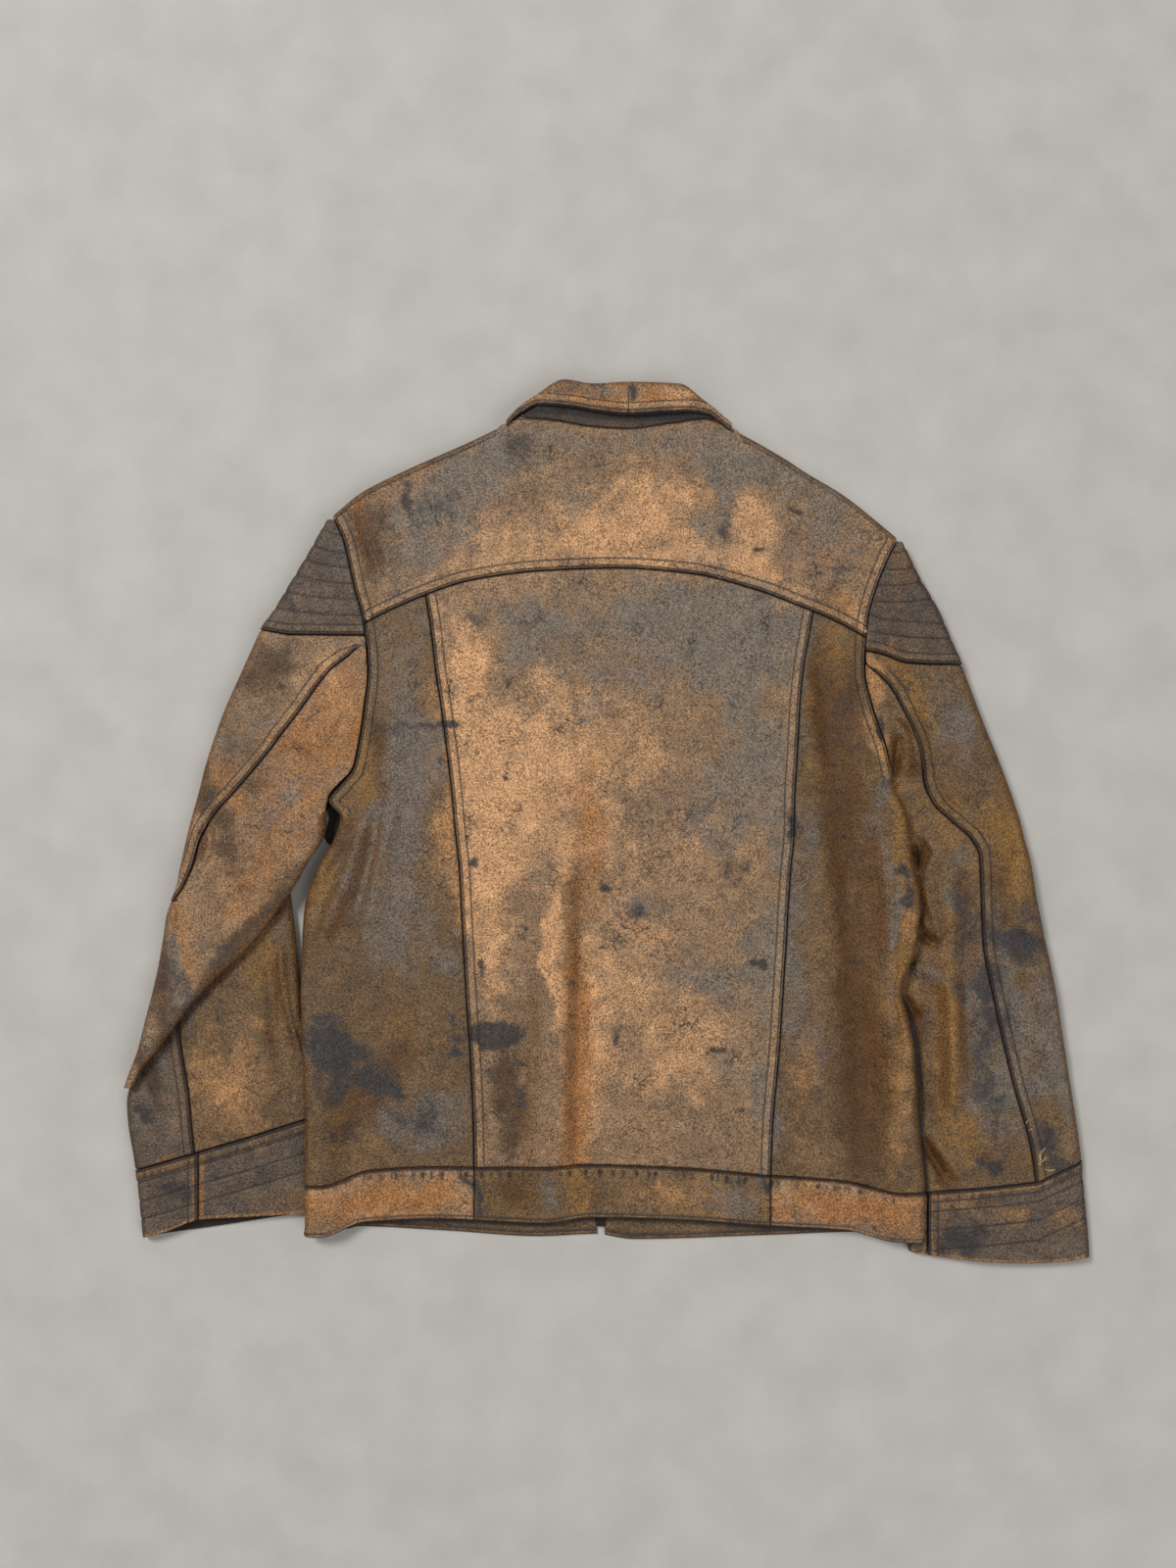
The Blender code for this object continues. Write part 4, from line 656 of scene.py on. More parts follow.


# Stains and rubbed places: x, y, half width, half height, turn in degrees, strength.
# Some entries are painted light rather than stains: the shade list is painted shade, and a few grey entries are
# painted highlights.
stains = {
    "tan": [
        (-122, 135, 20, 28, 0, 0.95), (-110, 42, 36, 62, 2, 1.0), (-112, -52, 22, 62, 2, 0.95),
        (-60, 55, 52, 52, 0, 0.6), (-78, -12, 42, 52, 0, 0.55), (-40, 112, 28, 30, 0, 0.5),
        (262, 228, 26, 36, -20, 0.3), (-102, -130, 13, 44, 3, 0.6), (-60, 241, 74, 24, 0, 0.65),
        (28, 264, 54, 42, 0, 0.75), (125, 248, 22, 26, 0, 0.7), (-165, 206, 44, 10, 20, 0.35),
        (60, 225, 92, 9, -3, 0.65), (160, 201, 54, 10, -20, 0.5), (213, 184, 13, 22, 20, 0.3),
        (-190, -326, 76, 14, 2, 0.5), (-85, -135, 16, 26, 0, 0.3), (66, -322, 50, 14, 0, 0.7),
        (-126, 165, 12, 26, 0, 0.6), (-126, 60, 14, 60, 0, 0.3), (345, -340, 30, 12, 8, 0.6),
        (390, -345, 14, 14, 0, 0.5), (300, -334, 22, 6, 5, 0.6), (206, -329, 68, 14, -4, 0.45),
        (253, -75, 8, 24, 0, 1.0), (248, -190, 13, 90, -2, 0.75), (226, 130, 8, 50, 12, 0.85),
        (240, 62, 7, 28, 28, 0.85), (248, 20, 6, 28, 20, 0.6), (-230, 112, 14, 42, 8, 0.6),
        (-252, 132, 10, 34, -42, 0.35), (-325, -225, 42, 50, 0, 0.6), (62, -198, 60, 62, 0, 0.45),
        (20, -120, 32, 52, 0, 0.5), (-44, -110, 7, 80, 0, 0.9), (20, 70, 30, 30, 0, 0.4),
        (-8, 20, 34, 60, 0, 0.5), (80, -20, 30, 24, 0, 0.35),
        (-20, -200, 18, 110, 0, 0.85), (35, 355, 60, 8, 0, 0.5), (170, -220, 14, 60, 0, 0.4),
        (60, 366, 26, 8, 0, 0.6), (-150, 170, 6, 26, 3, 0.6),
    ],
    "ochre": [
        (300, -52, 16, 44, 0, 0.6), (-27, -190, 11, 120, 1, 1.0), (-28, -262, 13, 46, 0, 0.9),
        (-14, -6, 14, 62, 0, 0.65), (291, -186, 9, 84, -2, 1.0), (309, -268, 17, 26, 0, 0.9),
        (346, -22, 20, 50, 12, 1.0), (262, 112, 14, 42, 30, 0.8), (300, 8, 16, 30, 30, 0.6),
        (-236, 96, 26, 48, -8, 0.5), (-292, 18, 50, 66, -34, 0.25), (-262, 70, 30, 44, -30, 0.45),
        (-320, -40, 34, 40, -40, 0.3), (-240, -42, 7, 42, -16, 0.9), (-212, 62, 8, 46, 3, 0.8),
        (-178, -166, 12, 12, 0, 0.6), (-170, -186, 9, 9, 0, 0.5), (-206, -282, 24, 18, -25, 0.35),
        (-80, -322, 26, 18, 0, 0.7), (-25, -324, 9, 22, 0, 1.0), (-213, 262, 5, 30, 0, 0.9),
        (0, 366, 92, 15, 0, 0.6), (190, 128, 14, 54, -6, 0.8), (240, -250, 14, 50, 0, 0.6),
        (-378, -292, 28, 5, 14, 0.9), (-354, -322, 5, 26, 0, 0.9), (-196, -326, 76, 18, 2, 0.95),
        (210, -330, 72, 18, -4, 0.9), (-186, 30, 24, 60, 0, 0.6), (196, 40, 22, 150, 2, 0.5),
        (-262, 30, 30, 60, -30, 0.3), (-300, -60, 30, 50, -30, 0.35), (250, -20, 8, 60, 0, 0.8),
        (252, -140, 8, 60, 0, 0.8), (265, -20, 8, 80, 0, 0.4), (60, -325, 60, 16, 0, 0.4),
        (-330, 40, 14, 50, 30, 0.5), (330, 110, 10, 40, 25, 0.5), (236, -170, 10, 60, 0, 0.5),
        (-366, -110, 14, 50, 12, 0.5), (290, -345, 24, 20, 0, 0.3), (-300, -120, 20, 30, 0, 0.5),
        (380, -290, 18, 14, 20, 0.5),
    ],
    "grey": [
        (-160, 228, 44, 16, 18, 0.6), (-45, 368, 34, 12, 0, 0.35), (-372, -130, 18, 50, 20, 0.8),
        (-125, 285, 36, 24, 12, 0.95), (-166, 262, 42, 20, 0, 0.7), (-92, 318, 44, 20, 20, 0.7),
        (-222, 240, 12, 34, 0, 0.5), (-30, 276, 26, 24, 0, 0.4), (98, 280, 15, 40, 0, 0.9),
        (88, 314, 28, 16, 0, 0.6), (133, 300, 22, 17, 0, 0.8), (180, 284, 44, 24, -38, 0.7),
        (202, 228, 24, 24, 0, 0.1), (-318, 105, 24, 40, 30, 0.25), (76, 245, 8, 16, 0, 0.6),
        (70, 172, 98, 38, 2, 0.95), (112, 142, 54, 34, 0, 0.9), (-110, 186, 44, 15, 0, 0.5),
        (-70, 160, 32, 28, 0, 0.7), (-95, 130, 14, 18, 0, 0.4), (0, 115, 44, 18, 0, 0.4),
        (-40, 95, 62, 8, 0, 0.35), (102, 20, 44, 52, 0, 0.6), (132, 70, 32, 42, 0, 0.6),
        (147, -30, 11, 64, 2, 0.5), (-180, 140, 28, 54, 0, 0.5), (-166, 80, 26, 22, 0, 0.85),
        (-166, 28, 28, 44, 0, 0.75), (-182, -4, 20, 32, 0, 0.7), (-190, -62, 32, 52, 10, 0.6),
        # (-222, -50): painted highlight on a ridge of the left side panel
        (-222, -50, 8, 52, 16, 0.8), (-160, -110, 44, 42, 0, 0.5), (-165, -262, 44, 26, 0, 0.8),
        # (240, -90): painted highlight on a ridge of the right side panel
        (240, -90, 5, 62, 0, 0.9), (228, 10, 9, 30, 0, 0.7), (176, -14, 12, 40, 0, 0.6),
        (158, -110, 13, 84, 0, 0.7), (70, -132, 42, 24, 0, 0.6), (30, -76, 24, 18, 0, 0.6),
        (112, -215, 26, 26, 0, 0.45), (134, -262, 10, 52, 0, 0.9), (300, 84, 17, 32, 12, 0.9),
        (316, -190, 12, 72, 8, 0.75), (386, -190, 18, 76, 10, 1.0), (342, -240, 16, 40, 10, 0.6),
        (270, -134, 15, 11, 20, 0.8), (334, -130, 9, 54, 5, 0.8), (-292, 146, 36, 14, -8, 0.3),
        # (-275, 22) and (-266, -152): painted highlights on ridges of the left sleeve and forearm
        (-325, 72, 24, 13, 0, 0.3), (-275, 22, 12, 28, -34, 0.6), (-266, -152, 5, 52, 5, 0.8),
        (130, -120, 34, 60, 0, 0.5), (320, 150, 26, 20, 0, 0.6), (285, 120, 12, 20, 20, 0.4),
        (10, 322, 80, 14, 0, 0.4), (-50, -322, 9, 20, 0, 0.7), (100, -322, 34, 14, 0, 0.6),
        (-395, -180, 8, 60, 14, 0.6), (300, -55, 12, 40, 0, 0.7), (-20, 376, 30, 5, 0, 0.5),
        (186, -200, 12, 60, 0, 0.4), (350, -190, 14, 60, 12, 0.85), (-390, -262, 18, 26, 0, 0.5),
        (170, 240, 40, 20, -20, 0.4),
    ],
    # painted shade in fold valleys, along the left sleeve's folded edge and just below the back hem, with some patches
    # of darker brown tone
    "paintedShadeAndBrown": [
        (-312, -48, 34, 40, -40, 0.3), (-350, 40, 14, 60, 25, 0.6), (-204, 232, 22, 44, 10, 0.25),
        (-45, 372, 40, 12, 0, 0.4), (-318, -110, 122, 8, 52, 1.0), (-386, -128, 13, 60, 16, 0.8),
        (198, 60, 24, 120, 3, 0.6), (206, -180, 26, 120, 2, 0.5), (186, 92, 11, 64, 5, 1.0),
        (200, -10, 15, 64, 3, 1.0), (212, -150, 14, 112, 3, 1.0), (216, -262, 14, 42, 0, 0.9),
        (-86, -240, 13, 64, 0, 0.9), (-72, -160, 12, 44, 0, 0.2), (-231, -22, 6, 32, -25, 0.9),
        (-202, 256, 9, 30, 0, 0.6), (266, -28, 7, 9, 0, 1.0), (272, -101, 11, 4, -25, 1.0),
        (262, -162, 8, 12, 0, 0.8), (267, -215, 5, 64, -3, 1.0), (283, -297, 22, 5, -52, 1.0),
        (247, 55, 4, 18, 0, 0.9), (304, -72, 11, 42, 0, 0.8), (-398, -205, 7, 42, 20, 1.0),
        (-386, -150, 6, 30, 14, 0.7), (-80, -318, 16, 16, 0, 0.9), (-10, -320, 8, 18, 0, 0.6),
        (-205, -235, 18, 46, -25, 0.85), (-180, -200, 26, 34, 0, 0.5), (-196, 60, 8, 50, 3, 0.7),
        (205, 60, 9, 60, 0, 0.7), (236, -230, 12, 60, 0, 0.6), (228, -60, 7, 60, 3, 0.7),
        (-292, 132, 30, 22, -10, 0.7), (-322, 70, 16, 60, 22, 0.6), (-212, 232, 16, 34, 10, 0.7),
        (-345, 20, 9, 60, 25, 0.6), (345, 60, 8, 60, 20, 0.6), (-230, -255, 20, 30, -25, 0.5),
        (-355, 52, 8, 50, 22, 0.6), (280, -230, 10, 40, -4, 0.5), (40, 300, 60, 12, 0, 0.25),
        (270, 60, 8, 30, 0, 0.5), (-290, -200, 8, 60, 0, 0.4), (60, -349, 80, 4, 0, 0.9),
        (-90, -350, 80, 4, 0, 0.9), (335, -60, 12, 50, 5, 0.5),
    ],
    "dark": [
        (-88, -184, 12, 10, 0, 1.0), (-108, -177, 12, 8, 0, 1.0), (-101, -187, 10, 7, 0, 1.0),
        (-94, -178, 14, 9, 0, 0.7), (-137, -171, 5, 5, 0, 0.8), (-125, -188, 5, 4, 0, 0.8),
        (-130, -203, 10, 4, 0, 0.8), (-97, -215, 6, 5, 0, 0.7), (-76, -236, 8, 12, 0, 0.5),
        (-232, -192, 34, 18, -8, 0.8), (-205, -206, 22, 14, -20, 0.5), (-222, -222, 32, 15, -6, 0.7),
        (-236, -168, 22, 11, 0, 0.55), (-242, -242, 14, 11, 0, 0.5), (-190, -226, 26, 9, -15, 0.7),
        (-160, -256, 28, 17, 0, 0.6), (-132, 92, 8, 5, 0, 0.9), (-168, 88, 34, 4, 3, 0.75),
        (-186, 82, 17, 6, 0, 0.6), (-120, -10, 4, 4, 0, 0.8), (-118, -38, 4, 5, 0, 0.8),
        (-112, -125, 4, 6, 0, 0.8), (-75, 171, 15, 12, 0, 0.3), (-60, 176, 6, 5, 0, 0.4),
        (-78, 127, 5, 6, 0, 0.7), (65, 12, 11, 8, 0, 0.5), (92, 20, 11, 9, 0, 0.6), (-4, -52, 7, 4, 0, 0.7),
        (25, -78, 13, 10, 0, 0.7), (108, -42, 12, 8, 0, 0.7), (128, -124, 6, 4, 0, 0.8),
        (92, -203, 9, 4, 0, 0.7), (112, -240, 6, 6, 0, 0.7), (250, -55, 6, 19, 0, 0.8),
        (152, -8, 7, 10, 0, 1.0), (148, 92, 5, 14, 0, 0.6), (368, -80, 14, 14, 0, 0.6),
        (352, -106, 28, 13, -8, 0.9), (326, -130, 8, 42, 5, 0.45), (305, -80, 12, 32, 0, 0.45),
        (306, -135, 15, 30, 0, 0.35), (318, -192, 11, 30, 0, 0.45), (322, -150, 9, 26, 4, 0.6),
        (328, -236, 12, 46, 15, 0.55), (326, -291, 17, 8, -30, 0.9), (378, -284, 10, 26, 15, 0.8),
        (296, 96, 10, 13, 0, 0.3), (318, 56, 12, 17, 0, 0.3), (238, 73, 4, 9, 20, 1.0),
        (-332, -110, 15, 14, 0, 0.45), (-390, -245, 14, 11, 0, 0.75), (101, 262, 8, 24, 0, 0.45),
        (130, 293, 11, 7, 0, 0.6), (154, 271, 7, 3, -35, 0.9), (198, 222, 9, 10, 0, 0.4),
        (-140, 285, 32, 22, 0, 0.35), (-370, -137, 18, 34, 20, 0.5), (-168, 283, 6, 22, 0, 0.6),
        (-76, 320, 8, 14, 0, 0.6), (128, 232, 4, 4, 0, 0.8), (-300, -302, 34, 11, 10, 0.5),
        (-370, -312, 22, 14, 10, 0.6), (300, -362, 26, 12, 0, 0.8), (392, -300, 14, 12, 20, 0.5),
        (330, -352, 16, 8, 0, 0.5), (-155, 270, 9, 9, 0, 0.3), (-18, 376, 6, 4, 0, 0.5),
        (17, 366, 4, 12, 0, 0.8), (340, -150, 9, 30, 8, 0.6), (-115, 176, 12, 8, 0, 0.5),
        (-226, 160, 5, 60, 2, 0.4), (-205, 165, 7, 16, 0, 0.5), (140, -312, 7, 6, 0, 0.9),
        (-116, -322, 4, 20, 0, 0.8), (-86, 45, 3, 3, 0, 0.6), (75, 100, 10, 6, 0, 0.4),
        (80, -160, 12, 5, 20, 0.4), (6, -182, 4, 5, 0, 0.6), (-60, -60, 5, 12, 0, 0.4),
    ],
}


def spotted(kind, x, y):
    clear = np.ones(np.shape(x))
    for cx, cy, wide, high, turn, strength in stains[kind]:
        c, s = math.cos(math.radians(turn)), math.sin(math.radians(turn))
        u, v = ((x - cx) * c + (y - cy) * s) / wide, (-(x - cx) * s + (y - cy) * c) / high
        clear = clear * (1 - strength * np.exp(-((u * u + v * v) ** 1.25) * 0.8))
    return 1 - clear


def strayed(x, y):  # stains wander, so that none is a plain oval
    wide = 22 * lattice(x, y, 30.0, 1) + 9 * lattice(x, y, 11.0, 2) + 5 * lattice(x, y, 6.0, 9)
    tall = 22 * lattice(x, y, 30.0, 6) + 9 * lattice(x, y, 11.0, 7) + 5 * lattice(x, y, 6.0, 8)
    return x + wide * 0.8, y + tall * 0.8


def wearAt(x, y, onTop):  # how tan, grey and dark the leather is at each place
    x, y = np.where(onTop, x, 30.0 - x), np.where(onTop, y, y - 35.0)
    x, y = strayed(x, y)
    return np.stack([spotted(kind, x, y) for kind in ("tan", "grey", "dark")], axis=-1)


def toneAt(x, y, upward):  # ochre patches, painted shade in hollows with some darker brown tone, and painted shade on slopes from how far the surface turns away from facing up
    onTop = upward > -0.3
    x, y = np.where(onTop, x, 30.0 - x), np.where(onTop, y, y - 35.0)
    sx, sy = x + 7 * lattice(x, y, 24.0, 11), y + 14 * lattice(x, y, 24.0, 12)
    paintedSlopeShade = ease((1 - np.abs(upward) - 0.01) / 0.12)
    return np.stack([spotted("ochre", sx, sy), spotted("paintedShadeAndBrown", sx, sy), paintedSlopeShade, np.ones(np.shape(x))], axis=-1)


step, gap = jacket["step"], jacket["gap"]


def makeYoke():
    yoke = {"rows": course("over", "plain", 120, step), "columns": course("over", "over", 470, step)}

    def section(y):
        left, right = bodyLeft(y), bodyRight(y)
        x = place(left + gap, right - gap, yoke["columns"], lean(bodyLeft, y), lean(bodyRight, y))
        return x, bodyOver(x, y)

    def top(x, z):
        outside = np.maximum(jacket["neckLeft"] - 5 - x, x - jacket["neckRight"] - 5)
        return follow(shoulder, x, "y") - 7.0 * ease(outside / 7.0)

    low = lineOf(yokeSeam)
    x, y, z = layGrid(section, low, top, yoke["rows"])
    slant = np.sqrt(1 + ((low(x + 1.5, z) - low(x - 1.5, z)) / 3.0) ** 2)
    seams = [
        ("over", (y - low(x, z)) / slant),
        ("over", (x - bodyLeft(y)) / lean(bodyLeft, y)),
        ("over", (bodyRight(y) - x) / lean(bodyRight, y)),
        ("under", np.where((x > -88) & (x < 105), top(x, z) - y, 99.0)),
    ]
    return sew("yoke", x, y, z, seams, jacket["wall"])


def makeBackPanels():
    panel = {"rows": course("under", "under", 510, step)}
    low, high = lineOf(bandSeam), lineOf(yokeSeam)
    centreColumns = course("over", "over", 280, step)

    def centre(y):
        x = place(seamLeft(y) + gap, seamRight(y) - gap, centreColumns)
        return x, bodyOver(x, y)

    x, y, z = layGrid(centre, low, high, panel["rows"])
    slant = np.sqrt(1 + ((high(x + 1.5, z) - high(x - 1.5, z)) / 3.0) ** 2)
    seams = [
        ("over", x - seamLeft(y)), ("over", seamRight(y) - x),
        ("under", (high(x, z) - y) / slant), ("under", y - low(x, z)),
    ]
    sew("back_centre", x, y, z, seams, jacket["wall"])
    for name, side, edge, seam, underarm in (
        ("back_side_left", -1, bodyLeft, seamLeft, jacket["leftUnderarm"]),
        ("back_side_right", 1, bodyRight, seamRight, jacket["rightUnderarm"]),
    ):
        columns = wrapColumns(course("over", "under", 120, step))

        def section(y, side=side, edge=edge, seam=seam, underarm=underarm, columns=columns):
            joined = ease((y - underarm + 14) / 14.0)
            reach = mix(jacket["rollReach"], gap, joined)
            topTo = seam(y) + side * gap
            underTo = edge(y) - side * jacket["sideSeamIn"]
            return wrapSection(y, side, edge(y), reach, underTo, topTo, bodyUnder, bodyOver, columns,
                               mix(1.0, lean(edge, y), joined))

        x, y, z = layGrid(section, low, high, panel["rows"])
        onTop = np.broadcast_to(columns["kind"][None, :] == 2, x.shape)
        armhole = side * (edge(y) - x) / lean(edge, y) + 40 * (1 - ease((y - underarm + 16) / 10))
        slant = np.sqrt(1 + ((high(x + 1.5, z) - high(x - 1.5, z)) / 3.0) ** 2)
        seams = [
            ("under", side * (x - seam(y))), ("over", np.where(onTop, armhole, 99.0)),
            ("under", (high(x, z) - y) / slant), ("under", y - low(x, z)),
        ]
        keep = onTop | (y < underarm + 1)
        keep = keep | (np.broadcast_to(np.arange(len(columns["kind"]))[None, :], x.shape)
                       >= int((columns["kind"] == 2).argmax()))
        sew(name, x, y, z, seams, jacket["wall"], keep=keep, flip=side == 1)


def frontSections(step):
    def toLeft(y):
        joined = ease((44.0 - y) / (44.0 - jacket["leftUnderarm"]))
        # it shows in the hollow under the arm
        underarm = 11.0 * ease((y + 34.0) / 22.0) * ease((30.0 - y) / 16.0)
        end = bodyLeft(y) + mix(gap, mix(jacket["sideSeamIn"] + gap, 0.0, underarm / 11.0), joined) - underarm
        x = place(jacket["zipX"] - jacket["zipGap"] + 0 * y, end, frontColumns)
        return x, frontUnder(x, y)

    def toRight(y):
        joined = ease((72.0 - y) / (72.0 - jacket["rightUnderarm"]))
        end = bodyRight(y) - mix(gap, jacket["sideSeamIn"] + gap, joined)
        underarm = ease((y - 43.0) / 8.0) * ease((110.0 - y) / 12.0)  # reaches out below the fold under the arm
        end = mix(end, bodyRight(y) + 2.0, underarm)
        x = place(end, jacket["zipX"] + jacket["zipGap"] + 0 * y, frontColumns)
        return x, frontUnder(x, y)

    frontColumns = course("plain", "plain", 250, step)
    return {"front_left": toLeft, "front_right": toRight}


def puckers(x, down, seed, first=-1e9, last=1e9):  # short dark pulls in the leather along a row of stitches
    marks, places = np.zeros(np.shape(x)), np.random.default_rng(seed)
    for at in np.arange(-400, 400, 7.5):
        at, deep = at + places.normal(0, 2.2), places.uniform(0.2, 1.7)
        wide, tall = places.uniform(0.9, 2.0), places.uniform(2.2, 4.2)
        if first < at < last:
            marks = np.maximum(marks, deep * hump(x - at, wide) * hump(down - 6.4, tall))
    return np.minimum(marks, 1.0)


def makeWaistband():
    band = {"rows": course("plain", "waist", 48, 2.2)}
    low, high = lineOf(hemBack, front=hemFront), lineOf(bandSeam)
    centreColumns = course("over", "over", 256, 1.5)

    def centre(y):
        x = place(seamLeft(y) + gap, seamRight(y) - gap, centreColumns)
        return x, bodyOver(x, y)

    def finishBand(name, x, y, z, ends, flip=False):
        down = high(x, z) - y
        hem = 0.9 * hump(y - low(x, z) - 3.0, 3.0) - 0.7 * hump(y - low(x, z), 1.2)
        edge = np.maximum(hump(y - low(x, z), 1.6), hump(y - low(x, z) - 3.2, 0.6))
        pulled = puckers(x, down, 4, -215, 245) * (z > 5)
        if "front" in name:  # painted shadow just under the back's hem, and darker towards the sides
            below = follow(hemBack, x, "y") - 3.5 - y
            flanks = 0.5 * ease((x - 80.0) / 70.0) + 0.45 * ease((-85.0 - x) / 50.0)
            edge = np.maximum(edge, np.maximum(0.9 * (1 - ease(below / 4.0)), flanks))
        worn = 0.5 * hump(y - low(x, z) - 2.0, 0.9) + 0.7 * hump(down - 2.2, 1.0)
        sew(name, x, y, z, [("waist", down), *ends], jacket["bandWall"], flip=flip,
            extraRise=hem - 0.8 * pulled, linesAndPaintedShade=np.maximum(edge, pulled), rubbed=worn)

    x, y, z = layGrid(centre, low, high, band["rows"])
    finishBand("band_back", x, y, z, [("under", x - seamLeft(y)), ("under", seamRight(y) - x)])
    for name, side, edge, seam in (
        ("band_left", -1, bodyLeft, seamLeft), ("band_right", 1, bodyRight, seamRight),
    ):
        columns = wrapColumns(course("plain", "under", 130, 1.7))

        def section(y, side=side, edge=edge, seam=seam, columns=columns):
            underTo = edge(y) - side * jacket["sideSeamIn"]
            return wrapSection(y, side, edge(y), jacket["rollReach"], underTo, seam(y) + side * gap,
                               bodyUnder, bodyOver, columns)

        x, y, z = layGrid(section, low, high, band["rows"])
        finishBand(name, x, y, z, [("under", side * (x - seam(y)))], flip=side == 1)
    for name, section in frontSections(jacket["hiddenStep"]).items():
        x, y, z = layGrid(section, low, high, band["rows"])
        finishBand("band_" + name, x, y, z, [])


def makeFronts():
    front = {"roll": 4.0, "lip": 3.0, "rollSteps": 7}

    def top(x, z):
        atNeck = ease((x - jacket["neckLeft"] + 1) / 5.0) * ease((jacket["neckRight"] + 1 - x) / 5.0)
        return mix(follow(shoulder, x, "y") - front["roll"], follow(neckFront, x, "y"), atNeck)

    low = lineOf(bandSeam)
    for name, section in frontSections(4.5).items():
        x, y, z = layGrid(section, low, top, course("plain", "plain", 600, jacket["hiddenStep"]))
        rows = [(x, y, z)]
        tx, ty, tz = x[-1:], y[-1:], z[-1:]
        for k in range(1, front["rollSteps"] + 1):
            angle = math.pi * k / front["rollSteps"] - math.pi / 2
            high = bodyOver(tx, ty)
            rows.append((tx, ty + front["roll"] * math.cos(angle), mix(tz, high, 0.5 + 0.5 * math.sin(angle))))
        rows.append((tx, ty - front["lip"] + gap, bodyOver(tx, ty)))
        flatRows = len(y)
        x, y, z = (np.concatenate([row[i] for row in rows]) for i in range(3))
        inNeck = (x > jacket["neckLeft"]) & (x < jacket["neckRight"])
        keep = ~(inNeck & (np.arange(len(y))[:, None] >= flatRows))
        zipEdge = np.abs(x - jacket["zipX"]) - jacket["zipGap"]
        seams = [("quilt", np.where(z < 5, np.abs(zipEdge - 7.0), 99.0))]
        sew(name, x, y, z, seams, jacket["wall"], keep=keep)


def makeCaps():
    for name, side, rows, arm, seamRows, topY, low in (
        ("cap_left", -1, sleeveLeft, bodyLeft, lineOf(capSeamLeft), 260.5, capSeamLeft),
        ("cap_right", 1, sleeveRight, bodyRight, lineOf(capSeamRight), 241.5, capSeamRight),
    ):
        columns = wrapColumns(course("plain", "under", 80, 2.2), underSteps=6)

        def section(y, side=side, rows=rows, arm=arm, columns=columns):
            edge, end = follow(rows, y, "outer"), arm(y) + side * gap
            reach = np.minimum(jacket["rollReach"], 0.3 * np.abs(end - edge))
            return wrapSection(y, side, edge, reach, end, end, onFloor, bodyOver, columns)

        x, y, z = layGrid(section, seamRows, level(topY), course("over", "plain", 95, 1.1))
        x = np.concatenate([x, x[-1:], x[-1:]])  # its top end is closed down to the floor
        y = np.concatenate([y, y[-1:] + 0.9, y[-1:] + 1.3])
        z = np.concatenate([z, 0.6 * z[-1:], 0 * z[-1:]])
        quiltRise, quiltLine = quilting(name, x, y, z)
        seams = [("over", y - seamRows(x, z)), ("under", side * (x - arm(y)))]
        sew(name, x, y, z, seams, jacket["wall"], flip=side == 1, extraRise=quiltRise, linesAndPaintedShade=quiltLine)


quiltRows = {  # the topstitched lines across each cap: y at the armhole and at the outer edge
    "cap_left": [(247, 256), (232, 240), (219, 228), (205, 214), (192, 199), (178, 185)],
    "cap_right": [(232, 237), (218, 221), (204, 208), (190, 193), (178, 171), (165, 158)],
}


def quiltLineY(name, k, x, y):
    atArm, atEdge = quiltRows[name][k]
    if name == "cap_left":
        share = np.clip((bodyLeft(y) - x) / np.maximum(bodyLeft(y) - sleeveLeftOuter(y), 1), 0, 1)
    else:
        share = np.clip((x - bodyRight(y)) / np.maximum(sleeveRightOuter(y) - bodyRight(y), 1), 0, 1)
    return mix(atArm, atEdge, share) - 2.0 * np.sin(math.pi * share)


def quilting(name, x, y, z):
    rise, line = np.zeros(x.shape), np.zeros(x.shape)
    for k in range(len(quiltRows[name])):
        away = y - quiltLineY(name, k, x, y)
        rise = rise - 0.75 * hump(away, 1.6)
        line = np.maximum(line, hump(away, 0.6))
    return rise, line


def frontShare(y, top):
    return mix(0.0, 0.36, ease((top - y) / 80.0))


def cornerLine(y, cornerX, side):
    def line(x, z):
        return y + np.where(z > 5.0, np.maximum(0.0, side * (cornerX - x)) * 0.95, 0.0)
    return line


